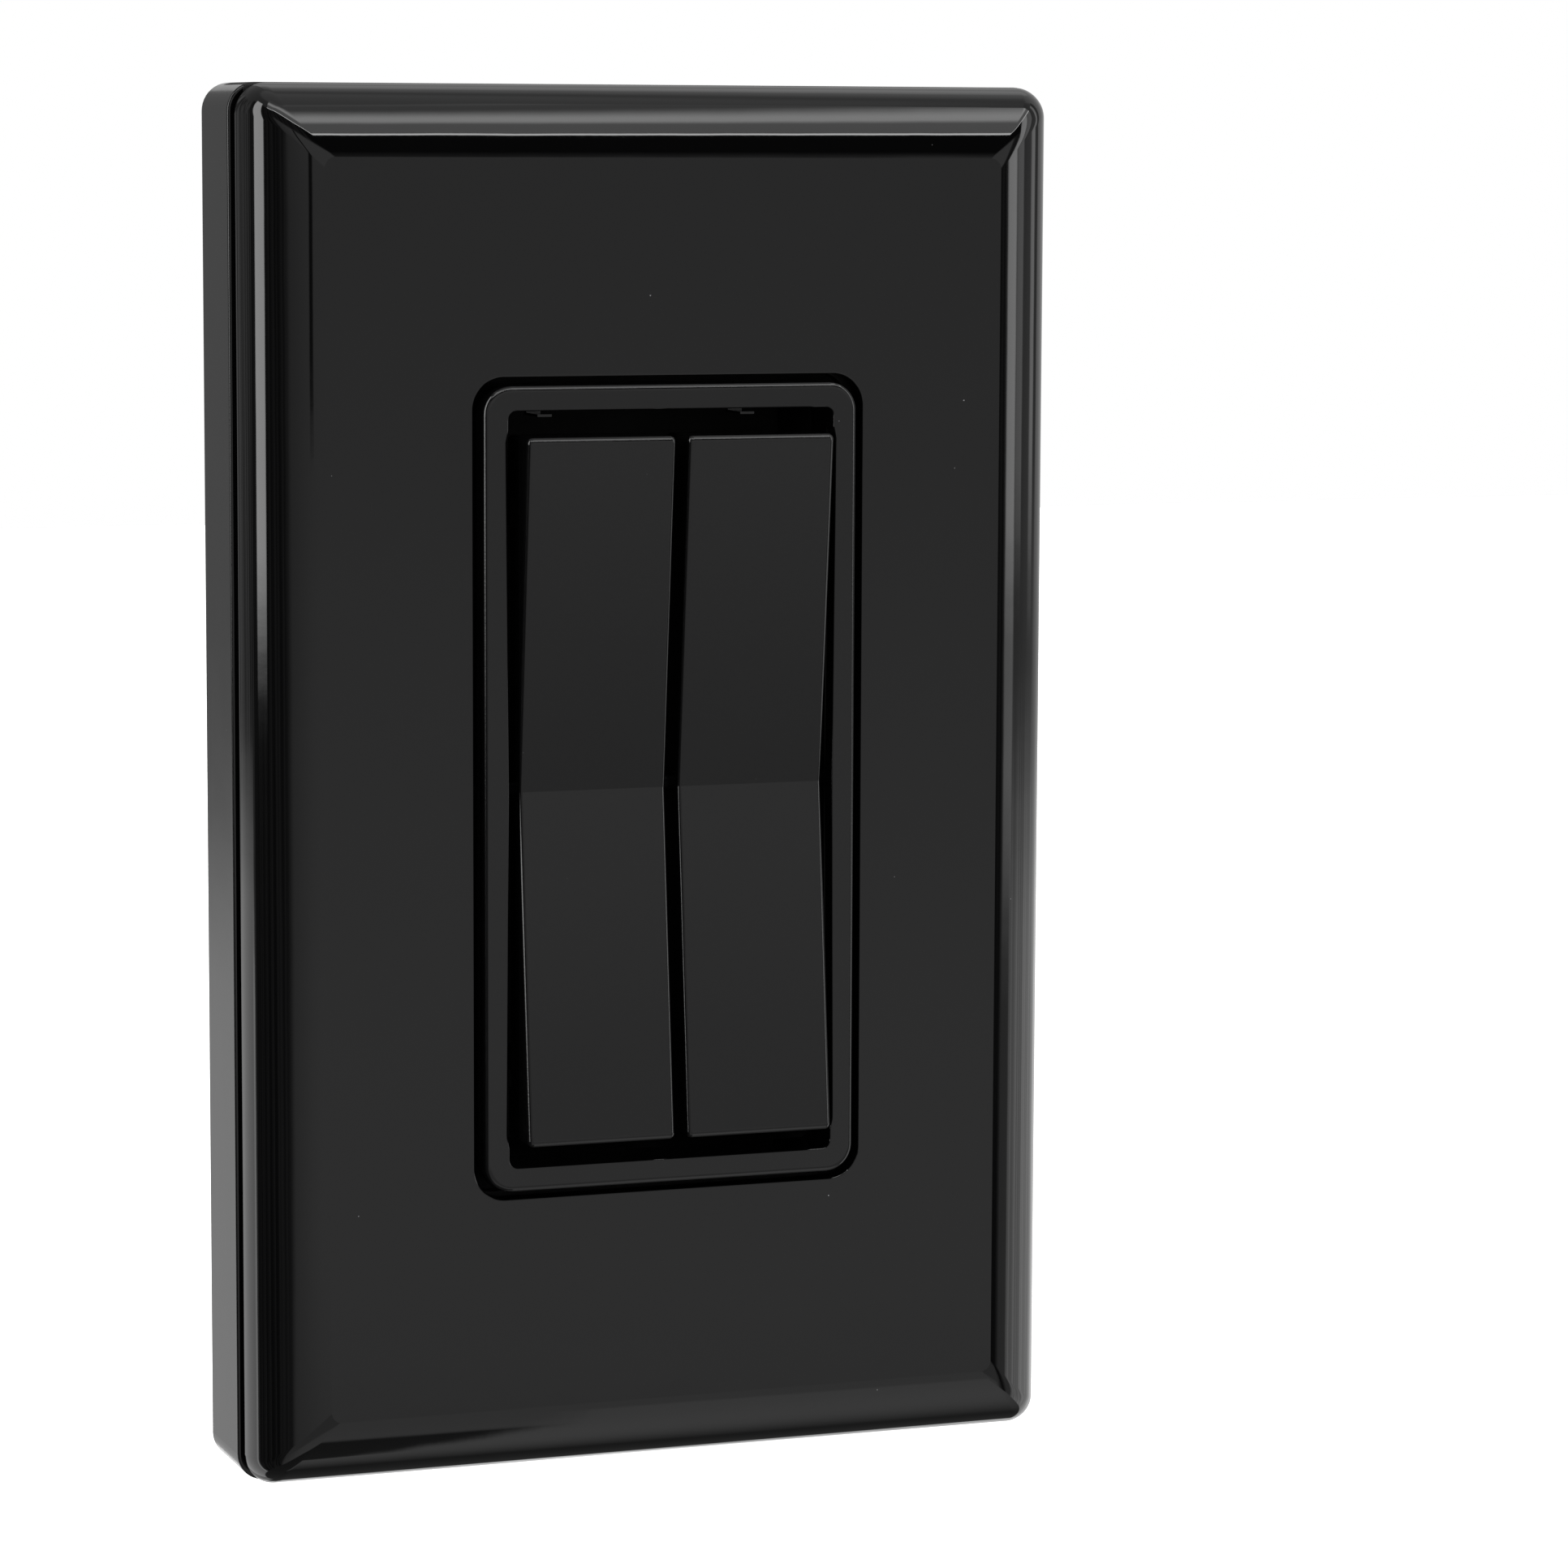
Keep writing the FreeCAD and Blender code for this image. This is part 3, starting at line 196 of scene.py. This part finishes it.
TRAY_INSIDE = ((-33.6 * MM, 33.6 * MM), (-12 * MM, -1.9 * MM))


def tray_moulding(slot, colour):
    """The tray's plastic: glossy, a little softer than the plate, with upright draw marks."""
    paint = Paint(slot, colour, 0.12)
    paint.vary_roughness(paint.noise(6 * MM, 3), 0.10, 0.15)
    paint.mottle(paint.remap(paint.noise(11 * MM), 0.45, 0.75, 0, 0.3), darker(colour, 1.6))
    paint.mottle(paint.remap(paint.cells(4.5 * MM), 0.016, 0.010), (0.3, 0.3, 0.31))
    paint.bump(paint.noise(5 * MM, 1), 6e-6)
    paint.bump(paint.noise(0.5 * MM, 2, (1, 0.05, 1)), 0.6e-6)
    paint.roughen_inside(TRAY_INSIDE, 0.7)
    return paint


def satin_moulding(slot, colour):
    """Fine spark-eroded texture that scatters the light, with faint polish in random patches."""
    paint = Paint(slot, colour, 0.11)
    paint.vary_roughness(paint.noise(8 * MM, 3), 0.10, 0.13)
    paint.mottle(paint.remap(paint.noise(0.25 * MM, 2), 0.4, 0.7, 0, 0.5), darker(colour, 2.0))
    paint.mottle(paint.remap(paint.cells(3 * MM), 0.018, 0.010), (0.12, 0.12, 0.125))
    paint.bump(paint.noise(0.16 * MM, 2), 2.5e-6)
    return paint


BEHIND_PLATE = ((-40 * MM, 40 * MM), (-10.2 * MM, 1 * MM))


def device_moulding(slot, colour):
    """The bezel's satin finish, dull on the mounting strap behind the plate."""
    paint = satin_moulding(slot, colour)
    paint.roughen_inside(BEHIND_PLATE, 0.8)
    return paint


def plain_moulding(slot, colour):
    """Unpolished moulding with flow marks and a fine grain."""
    paint = Paint(slot, colour, 0.5)
    paint.vary_roughness(paint.noise(4 * MM, 3), 0.42, 0.58)
    flow = paint.noise(3 * MM, 4, (1, 1, 0.4))
    paint.mottle(paint.remap(flow, 0.35, 0.75, 0, 0.6), darker(colour, 0.72))
    paint.bump(paint.noise(0.3 * MM, 3), 6e-6)
    return paint


def filled_moulding(slot, colour):
    """Glass-filled nylon: short pale fibres just under a dull skin."""
    paint = plain_moulding(slot, colour)
    fibres = paint.noise(0.35 * MM, 3, (1, 1, 0.12))
    pale = tuple(min(1, channel * 2.6 + 0.04) for channel in colour)
    paint.mottle(paint.remap(fibres, 0.62, 0.72, 0, 0.6), pale)
    paint.bump(fibres, 8e-6)
    return paint


def foam(slot, colour):
    """Closed-cell foam: small bubbles, matt, a little uneven."""
    paint = Paint(slot, colour, 0.9)
    bubbles = paint.cells(0.35 * MM)
    paint.mottle(paint.remap(bubbles, 0.1, 0.6, 0, 0.7), darker(colour, 1.9))
    paint.mottle(paint.remap(paint.noise(9 * MM), 0.4, 0.7, 0, 0.4), darker(colour, 0.6))
    paint.bump(bubbles, 60e-6)
    return paint


def metal(slot, colour, roughness, grain=(1, 1, 1), tarnish=0.65):
    """Bare or plated metal with a drawn or turned grain and slightly darker patches."""
    paint = Paint(slot, colour, roughness, 1.0)
    lines = paint.noise(0.12 * MM, 3, grain)
    paint.vary_roughness(lines, roughness * 0.75, roughness * 1.3)
    paint.mottle(paint.remap(paint.noise(1.6 * MM, 3), 0.4, 0.8, 0, 0.7), darker(colour, tarnish))
    paint.bump(lines, 1.5e-6)
    return paint


def board_laminate(slot, colour):
    """Solder resist over woven glass, with the tracks showing through as slightly lighter lines."""
    paint = Paint(slot, colour, 0.32)
    weave_x, weave_z = paint.ridges(0.45 * MM, "X"), paint.ridges(0.45 * MM, "Z")
    tracks = paint.noise(2.2 * MM, 0, (1, 1, 0.3))
    paint.mottle(paint.remap(tracks, 0.50, 0.52, 0, 0.55), darker(colour, 1.8))
    paint.mottle(paint.remap(paint.noise(6 * MM), 0.4, 0.7, 0, 0.3), darker(colour, 0.6))
    paint.bump(weave_x, 3e-6)
    paint.bump(weave_z, 3e-6)
    return paint


def chip_resin(slot, colour):
    """Moulded epoxy package: matt black with silica grains."""
    paint = Paint(slot, colour, 0.6)
    paint.mottle(paint.remap(paint.noise(0.12 * MM, 2), 0.55, 0.7), darker(colour, 2.4))
    paint.bump(paint.noise(0.1 * MM, 2), 5e-6)
    return paint


def ceramic(slot, colour):
    """Fired ceramic body with a fine speckle."""
    paint = Paint(slot, colour, 0.45)
    paint.mottle(paint.remap(paint.noise(0.2 * MM, 4), 0.4, 0.65), darker(colour, 0.7))
    paint.bump(paint.noise(0.25 * MM, 2), 4e-6)
    return paint


def enamelled_wire(slot, colour):
    """Copper wire under clear enamel."""
    paint = metal(slot, colour, 0.28, (1, 1, 1), 0.75)
    paint.set("Coat Weight", 0.8)
    paint.set("Coat Roughness", 0.12)
    return paint


ALONG_X, ALONG_Z = (0.03, 1, 1), (1, 1, 0.03)
MAKERS = {
    "plate_gloss": gloss_moulding,
    "frame_plastic": tray_moulding,
    "device_satin": device_moulding,
    "rocker_satin": satin_moulding,
    # Partly painted shade: the record's inner plastic is black moulding darkened further, so the inner
    # parts seen through the gaps stay as black as the shade there.
    "inner_plastic": plain_moulding,
    "module_plastic": plain_moulding,
    "plunger_plastic": plain_moulding,
    "lever_plastic": filled_moulding,
    "bobbin_plastic": plain_moulding,
    "pad_foam": foam,
    "screw_steel": lambda slot, colour: metal(slot, colour, 0.3),
    "axle_steel": lambda slot, colour: metal(slot, colour, 0.2, ALONG_X),
    # Painted shade: the record's near-black axle colour is a darkened copy of the steel, so the axle seen
    # in the gaps between the rockers stays as black as the shade there.
    "axle_black": lambda slot, colour: metal(slot, colour, 0.45, ALONG_X),
    "spring_steel": lambda slot, colour: metal(slot, colour, 0.25, ALONG_Z),
    "core_iron": lambda slot, colour: metal(slot, colour, 0.38, ALONG_Z, 0.5),
    "can_metal": lambda slot, colour: metal(slot, colour, 0.22),
    "magnet_nickel": lambda slot, colour: metal(slot, colour, 0.16),
    "winding_copper": enamelled_wire,
    "antenna_copper": lambda slot, colour: metal(slot, colour, 0.33, ALONG_X, 0.55),
    "board_laminate": board_laminate,
    "chip_resin": chip_resin,
    "capacitor_ceramic": ceramic,
}

colour_of = {material["slot"]: material["base_color"] for material in frame["record"]["materials"]}
paints = {slot: maker(slot, colour_of[slot]).material for slot, maker in MAKERS.items()}


def dress(thing, slot):
    """Give a piece the material of one of the record's slots, and nothing else."""
    thing.data.materials.clear()
    thing.data.materials.append(paints[slot])


for name, node in nodes.items():
    dress(node, slot_of[name])

# ---------------------------------------------------------------- meshes


def add_piece(name, body, slot, points, faces, *replaced):
    """A new mesh piece that rides on a body, has a slot's finish and may stand for CAD nodes."""
    mesh = bpy.data.meshes.new(name)
    mesh.from_pydata(points, [], faces)
    mesh.validate()
    piece = bpy.data.objects.new(name, mesh)
    bpy.context.scene.collection.objects.link(piece)
    dress(piece, slot)
    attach(piece, body)
    if replaced:
        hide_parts(*replaced)
    return piece


def shade(piece, crease):
    """Smooth shading that keeps edges sharper than crease degrees."""
    mesh = piece.data
    mesh.polygons.foreach_set("use_smooth", [True] * len(mesh.polygons))
    mesh.set_sharp_from_angle(angle=math.radians(crease))
    mesh.update()


CORNER_STEPS = 16


def rounded_outline(half_width, half_height, corner, steps=CORNER_STEPS):
    """A rounded rectangle about the origin, counter-clockwise."""
    points = []
    for turn, (across, up) in enumerate(((1, 1), (-1, 1), (-1, -1), (1, -1))):
        centre_u = (half_width - corner) * across
        centre_v = (half_height - corner) * up
        for step in range(steps + 1):
            angle = math.radians(90 * (turn + step / steps))
            points.append((centre_u + corner * math.cos(angle), centre_v + corner * math.sin(angle)))
    return points


def rounded_ring(half_width, half_height, corner, depth, x=0, z=0):
    """A rounded rectangle facing the front, round the point (x, z), in mm at a depth from the wall."""
    outline = rounded_outline(half_width, half_height, corner)
    return [((x + u) * MM, -depth * MM, (z + v) * MM) for u, v in outline]


def band(count, here, after):
    """Quads between two rings of count points, which start at the indices here and after."""
    pairs = [(step, (step + 1) % count) for step in range(count)]
    return [(here + step, after + step, after + beyond, here + beyond) for step, beyond in pairs]


def loft(rings, capped=False):
    """Points and faces of a skin through the rings: closed on the first one, or capped at both ends."""
    count, rows = len(rings[0]), len(rings)
    points = [point for ring in rings for point in ring]
    faces = []
    for row in range(rows - 1):
        faces += band(count, row * count, (row + 1) * count)
    last = (rows - 1) * count
    if capped:
        faces.append(tuple(range(count)))
        faces.append(tuple(last + step for step in reversed(range(count))))
    else:
        faces += band(count, last, 0)
    return points, faces


def sweep(start, end, pitch):
    """Angles from start to end, at most pitch degrees apart."""
    steps = max(1, math.ceil(abs(end - start) / pitch))
    return [start + (end - start) * step / steps for step in range(steps + 1)]


def sine(angle):
    return math.sin(math.radians(angle))


def cosine(angle):
    return math.cos(math.radians(angle))


# ---------------------------------------------------------------- wall plate

PLATE = (69.2, 113.4)
FACE_DEPTH, PLATE_BACK, PLATE_WALL = 14.8, 9.1, 1.6
HIP_RADIUS, FLAT_CORNER = 2.5, 0.9
CREASE, KNEE, RIM = 13, 40, 80
INNER_ROLL, OUTER_ROLL = 9.5, 5.4
OPENING, OPENING_CORNER = (33.3, 66.8), 2.6
OPENING_EDGE, REAR_EDGE, FLAT_MARGIN = 0.12, 0.2, 0.05
SKIRT_CORNER, SHELL_CORNER = 0.8, 0.5
EDGE_PITCH, ROLL_PITCH, REAR_PITCH, INSIDE_PITCH = 15, 2, 18, 12


def roll_profile(inner_radius, outer_radius, pitch):
    """The rolled border from the crease outwards, as (inset, drop below the face, slope)."""
    knee_inset = outer_radius * (sine(RIM) - sine(KNEE))
    flat_inset = knee_inset + inner_radius * (sine(KNEE) - sine(CREASE))
    knee_drop = inner_radius * (cosine(CREASE) - cosine(KNEE))
    profile = []
    for angle in sweep(CREASE, KNEE, pitch):
        inset = flat_inset - inner_radius * (sine(angle) - sine(CREASE))
        profile.append((inset, inner_radius * (cosine(CREASE) - cosine(angle)), angle))
    for angle in sweep(KNEE, RIM, pitch)[1:]:
        inset = knee_inset - outer_radius * (sine(angle) - sine(KNEE))
        profile.append((inset, knee_drop + outer_radius * (cosine(KNEE) - cosine(angle)), angle))
    return profile


def hip_corner(slope):
    """Corner radius of a level cut through the border where it has this slope."""
    tight = HIP_RADIUS * math.sin(math.atan(math.tan(math.radians(slope)) / math.sqrt(2)))
    return max(FLAT_CORNER, tight)


def plate_rings():
    half_width, half_height = PLATE[0] / 2, PLATE[1] / 2
    open_width, open_height = OPENING[0] / 2, OPENING[1] / 2
    rings = []
    # opening edge, then the rolled border
    for angle in sweep(90, 0, EDGE_PITCH):
        grow = OPENING_EDGE * (1 - sine(angle))
        depth = FACE_DEPTH - OPENING_EDGE * (1 - cosine(angle))
        rings.append(rounded_ring(open_width + grow, open_height + grow, OPENING_CORNER + grow, depth))
    grow = OPENING_EDGE + FLAT_MARGIN
    rings.append(rounded_ring(open_width + grow, open_height + grow, OPENING_CORNER + grow, FACE_DEPTH))
    for inset, drop, slope in roll_profile(INNER_ROLL, OUTER_ROLL, ROLL_PITCH):
        corner = hip_corner(slope)
        rings.append(rounded_ring(half_width - inset, half_height - inset, corner, FACE_DEPTH - drop))
    # skirt and its rear edge
    for angle in sweep(0, 90, REAR_PITCH):
        inset = REAR_EDGE * (1 - cosine(angle))
        depth = PLATE_BACK + REAR_EDGE * (1 - sine(angle))
        rings.append(rounded_ring(half_width - inset, half_height - inset, HIP_RADIUS - inset, depth))
    # inside
    wall = PLATE_WALL
    rings.append(rounded_ring(half_width - wall, half_height - wall, SKIRT_CORNER, PLATE_BACK))
    for inset, drop, _ in reversed(roll_profile(INNER_ROLL - wall, OUTER_ROLL - wall, INSIDE_PITCH)):
        depth = FACE_DEPTH - wall - drop
        inner_width, inner_height = half_width - wall - inset, half_height - wall - inset
        rings.append(rounded_ring(inner_width, inner_height, SHELL_CORNER, depth))
    rings.append(rounded_ring(open_width, open_height, OPENING_CORNER, FACE_DEPTH - wall))
    return rings


def make_wall_plate():
    piece = add_piece("wall_plate_skin", "housing", "plate_gloss", *loft(plate_rings()), "wall_plate")
    shade(piece, crease=8)


make_wall_plate()

# ---------------------------------------------------------------- adhesive pads and coil

PAD_HALF, PAD_CENTRE = (12.61, 15.475), (17.71, 20.575)
PAD_DEPTH, PAD_CORNER, PAD_PILLOW = 0.7, 1.4, 0.18


def make_adhesive_pads():
    """Four die-cut foam pads with rounded corners and softly rounded edges."""
    points, faces = [], []
    for across in (-1, 1):
        for up in (-1, 1):
            x, z = PAD_CENTRE[0] * across, PAD_CENTRE[1] * up
            rings = []
            for angle in sweep(-90, 90, 30):
                inset = PAD_PILLOW * (1 - cosine(angle))
                depth = PAD_DEPTH / 2 * (1 - sine(angle))
                half_width, half_height = (half - inset for half in PAD_HALF)
                rings.append(rounded_ring(half_width, half_height, PAD_CORNER - inset, depth, x, z))
            pad_points, pad_faces = loft(rings, capped=True)
            faces += [tuple(corner + len(points) for corner in face) for face in pad_faces]
            points += pad_points
    piece = add_piece("foam_pads", "housing", "pad_foam", points, faces, "adhesive_pads")
    shade(piece, crease=40)


COIL_DEPTH, COIL_HALF, COIL_CORNER, COIL_SPAN = 6.6, (4.8, 2.2), 1.6, (-16.0, -5.0)
CORE_ROOM, CORE_ROOM_CORNER = (2.8, 1.4), 0.05
WIRE, WIRE_STEPS, COIL_STEPS = 0.25, 8, 6


def level_ring(outline, z):
    """A level ring round the coil's upright axis; outline is in mm across and out from that axis."""
    return [(x * MM, -(COIL_DEPTH + depth) * MM, z * MM) for x, depth in outline]


def wound_ring(z):
    """The coil's outside at height z: round wires side by side that climb by one wire in each turn."""
    ridge = rounded_outline(*COIL_HALF, COIL_CORNER, COIL_STEPS)
    floor_half = [half - WIRE / 2 for half in COIL_HALF]
    groove = rounded_outline(*floor_half, COIL_CORNER - WIRE / 2, COIL_STEPS)
    outline = []
    for step, (top, bottom) in enumerate(zip(ridge, groove)):
        phase = (z - COIL_SPAN[0]) / WIRE - step / len(ridge)
        off_centre = phase % 1 * 2 - 1
        sunk = 1 - math.sqrt(1 - off_centre * off_centre)
        outline.append([high + (low - high) * sunk for high, low in zip(top, bottom)])
    return level_ring(outline, z)


def make_coil_winding():
    """The outer layer of the winding, wire by wire, with flat ends and room for the bobbin's barrel."""
    room = rounded_outline(*CORE_ROOM, CORE_ROOM_CORNER, COIL_STEPS)
    low, high = COIL_SPAN
    rows = round((high - low) / WIRE) * WIRE_STEPS
    rings = [level_ring(room, low)]
    rings += [wound_ring(low + (high - low) * row / rows) for row in range(rows + 1)]
    rings.append(level_ring(room, high))
    piece = add_piece("coil_wire", "housing", "winding_copper", *loft(rings), "coil_winding")
    shade(piece, crease=60)


make_adhesive_pads()
make_coil_winding()

# ---------------------------------------------------------------- stage, light and camera

FLOOR_DROP = 0.22
FLOOR_REACH = 4.0
FLOOR_COLOUR, FLOOR_GLOW = (0.85, 0.85, 0.85), 0.8


def make_floor():
    """A plain pale floor below the object, seen by the camera only, so it adds no reflections."""
    height = cad_low.z - FLOOR_DROP
    square = ((-1, -1), (1, -1), (1, 1), (-1, 1))
    corners = [(x * FLOOR_REACH, y * FLOOR_REACH, height) for x, y in square]
    mesh = bpy.data.meshes.new("floor")
    mesh.from_pydata(corners, [], [(0, 1, 2, 3)])
    floor = bpy.data.objects.new("floor", mesh)
    bpy.context.scene.collection.objects.link(floor)
    paint = Paint("floor", FLOOR_COLOUR, 0.9)
    paint.set("Emission Color", (1, 1, 1, 1))
    paint.set("Emission Strength", FLOOR_GLOW)
    mesh.materials.append(paint.material)
    floor.visible_glossy = False
    floor.visible_diffuse = False
    floor.visible_shadow = False


class Sky:
    """World light as soft rectangular panels by direction.

    Azimuth is counted from -Y, in front of the object, towards +X, and elevation from the horizon.
    Both are in degrees.
    """

    STREAK_WIDTH, STREAK_HEIGHT = 3.0, 40.0

    def __init__(self, radiance):
        world = bpy.data.worlds.new("studio")
        bpy.context.scene.world = world
        world.use_nodes = True
        self.tree = world.node_tree
        direction = self.node("ShaderNodeSeparateXYZ")
        self.link(self.node("ShaderNodeTexCoord").outputs["Generated"], direction.inputs[0])
        self.x, self.y, self.z = direction.outputs
        turned = self.maths("ARCTAN2", self.x, self.maths("MULTIPLY", self.y, -1.0))
        self.azimuth = self.maths("MULTIPLY", turned, math.degrees(1))
        self.elevation = self.maths("MULTIPLY", self.maths("ARCSINE", self.z), math.degrees(1))
        self.radiance = radiance

    def node(self, kind, **settings):
        made = self.tree.nodes.new(kind)
        for key, value in settings.items():
            setattr(made, key, value)
        return made

    def link(self, source, target):
        self.tree.links.new(source, target)

    def feed(self, value, socket):
        if isinstance(value, (int, float)):
            socket.default_value = value
        else:
            self.link(value, socket)

    def maths(self, operation, first, second=0.0):
        made = self.node("ShaderNodeMath", operation=operation)
        self.feed(first, made.inputs[0])
        self.feed(second, made.inputs[1])
        return made.outputs[0]

    def ramp(self, value, start, end, low=0.0, high=1.0):
        made = self.node("ShaderNodeMapRange", interpolation_type="SMOOTHSTEP")
        self.link(value, made.inputs["Value"])
        numbers = {"From Min": start, "From Max": end, "To Min": low, "To Max": high}
        for key, number in numbers.items():
            made.inputs[key].default_value = number
        return made.outputs["Result"]

    def within(self, value, span, soft):
        """1 inside the span and 0 outside, with edges soft degrees wide."""
        low, high = span
        half = soft / 2
        rise = self.ramp(value, low - half, low + half)
        fall = self.ramp(value, high - half, high + half, 1.0, 0.0)
        return self.maths("MULTIPLY", rise, fall)

    def panel(self, azimuth, elevation, radiance, soft=3.0):
        """Cover a window of the sky; radiance is a number or a socket, and later panels hide earlier ones.

        The window is a span of azimuth and one of elevation, with edges soft degrees wide.
        """
        sideways = self.within(self.azimuth, azimuth, soft)
        upright = self.within(self.elevation, elevation, soft)
        self.cover(self.maths("MULTIPLY", sideways, upright), radiance)

    def cover(self, mask, radiance):
        """Put a radiance where the mask is 1."""
        mix = self.node("ShaderNodeMix")
        self.link(mask, mix.inputs[0])
        self.feed(self.radiance, mix.inputs[2])
        self.feed(radiance, mix.inputs[3])
        self.radiance = mix.outputs[0]

    def streaks(self, radiance, depth):
        """A radiance that varies in narrow upright bands, the way a cluttered room does."""
        place = self.node("ShaderNodeCombineXYZ")
        self.link(self.maths("DIVIDE", self.azimuth, self.STREAK_WIDTH), place.inputs[0])
        self.link(self.maths("DIVIDE", self.elevation, self.STREAK_HEIGHT), place.inputs[1])
        noise = self.node("ShaderNodeTexNoise")
        self.link(place.outputs[0], noise.inputs["Vector"])
        noise.inputs["Scale"].default_value = 1.0
        dim, bright = radiance * (1 - depth), radiance * (1 + depth)
        return self.ramp(noise.outputs[0], 0.35, 0.65, dim, bright)

    def finish(self, behind):
        """The panels light the object, and the camera sees a plain background."""
        seen = self.node("ShaderNodeMix")
        self.link(self.node("ShaderNodeLightPath").outputs["Is Camera Ray"], seen.inputs[0])
        self.feed(self.radiance, seen.inputs[2])
        self.feed(behind, seen.inputs[3])
        background = self.tree.nodes["Background"]
        background.inputs["Color"].default_value = (1, 1, 1, 1)
        self.link(seen.outputs[0], background.inputs["Strength"])


DIM_ROOM, BACKGROUND = 0.35, 1.0
TABLE_SKEW, TABLE_EDGE = 0.215, (0.215, 0.24)


def make_sky():
    sky = Sky(DIM_ROOM)
    everywhere = (-999, 999)
    # walls and ceiling of the studio
    sky.panel((105, 999), (-8, 60), 0.6, 12)
    sky.panel((-999, -158), (-7, 35), 0.22, 4)
    sky.panel((-158, -100), (-7, 35), sky.streaks(0.3, 0.6), 4)
    sky.panel(everywhere, (66, 999), 0.6, 8)
    sky.panel((135, 999), (38, 50), 0.9, 6)
    # pale table round the object, darker right below it
    sky.panel((-160, -108), (-999, -7.2), 1.5, 3)
    sky.panel((-999, -158), (-999, -8), 0.66, 2.5)
    sky.panel((-111, -107), (-999, -9), 2.4, 1.5)
    sky.panel((68, 999), (-999, -7), sky.streaks(1.3, 0.25), 4)
    # dark studio in front, with one large card that the flat faces mirror
    sky.panel((-104, 56), (-999, 45), sky.streaks(0.08, 0.6), 4)
    sky.panel((0, 56), (26, 45), 0.02, 1)
    card_height = sky.ramp(sky.elevation, -12, 0, 0.63, 0.50)
    card_fall = sky.ramp(sky.azimuth, -58, -14, 0.6, 1.0)
    sky.panel((-47, 47), (-58, 25), sky.maths("MULTIPLY", card_height, card_fall), 9)
    sky.panel((-47, 47), (-36, -14.5), 0.42, 5)
    sky.panel((-47, 47), (1.5, 25), sky.maths("MULTIPLY", card_fall, 0.64), 3)
    sky.panel((-25.2, -21.8), (-2.5, 25), 0.05, 1.5)
    # under the object: dark, with a pale sheet beyond a straight edge
    sky.panel(everywhere, (-999, -57), 0.12, 3)
    skewed = sky.maths("ADD", sky.x, sky.maths("MULTIPLY", sky.y, TABLE_SKEW))
    on_table = sky.maths("DIVIDE", skewed, sky.maths("MULTIPLY", sky.z, -1.0))
    beyond_edge = sky.ramp(on_table, *TABLE_EDGE)
    below = sky.within(sky.elevation, (-999, -44), 3)
    sheet = sky.ramp(sky.azimuth, 35, 122, 0.8, 0.1)
    sky.cover(sky.maths("MULTIPLY", beyond_edge, below), sheet)
    sky.panel((58, 999), (-999, -45), sheet, 3)
    # soft boxes at the left, at the right and above
    sky.panel((-94.5, -75), (-4.8, 50), 5.0, 2.5)
    sky.panel((57.5, 69), (-5, 45), 3.0, 3)
    sky.panel((57.5, 69), (-8, -5), 1.6, 3)
    sky.panel((70, 79), (-4, 45), 1.2, 2)
    sky.panel((92, 99), (-4, 45), 1.3, 3)
    sky.panel((100, 108), (-4, 45), 0.2, 3)
    sky.panel((-60, 80), (46, 73), 1.4, 2)
    sky.panel((-60, 80), (56.5, 73), sky.ramp(sky.elevation, 60, 69, 4.0, 0.7), 4)
    sky.panel((-60, 80), (44.4, 46), 9.0, 0.6)
    sky.finish(BACKGROUND)


LENS = 124.1 * MM
LENS_TURN, LENS_DIP, LENS_ROLL = 20.33, 6.865, 0.2485
AIM = Vector((9.95, -14.8, -0.23)) * MM
DISTANCE = 444.3 * MM
SENSOR_WIDTH = 36 * MM
NEAREST, FARTHEST = 0.01, 50.0


def make_camera():
    """The camera stands to the left of the plate's normal and a little above it."""
    turn, dip, roll = (math.radians(angle) for angle in (LENS_TURN, LENS_DIP, LENS_ROLL))
    level_reach = math.cos(dip)
    forward = Vector((math.sin(turn) * level_reach, math.cos(turn) * level_reach, -math.sin(dip)))
    right = Vector((math.cos(turn), -math.sin(turn), 0))
    up = right.cross(forward)
    level = Matrix((right, up, -forward)).transposed()
    turned = (level @ Matrix.Rotation(roll, 3, "Z")).to_4x4()
    data = bpy.data.cameras.new("camera")
    data.lens = LENS / MM
    data.sensor_width = SENSOR_WIDTH / MM
    data.clip_start, data.clip_end = NEAREST, FARTHEST
    camera = bpy.data.objects.new("camera", data)
    bpy.context.scene.collection.objects.link(camera)
    camera.matrix_world = Matrix.Translation(AIM - forward * DISTANCE) @ turned
    bpy.context.scene.camera = camera


make_floor()
make_sky()
make_camera()
bpy.context.scene.view_settings.view_transform = "Standard"
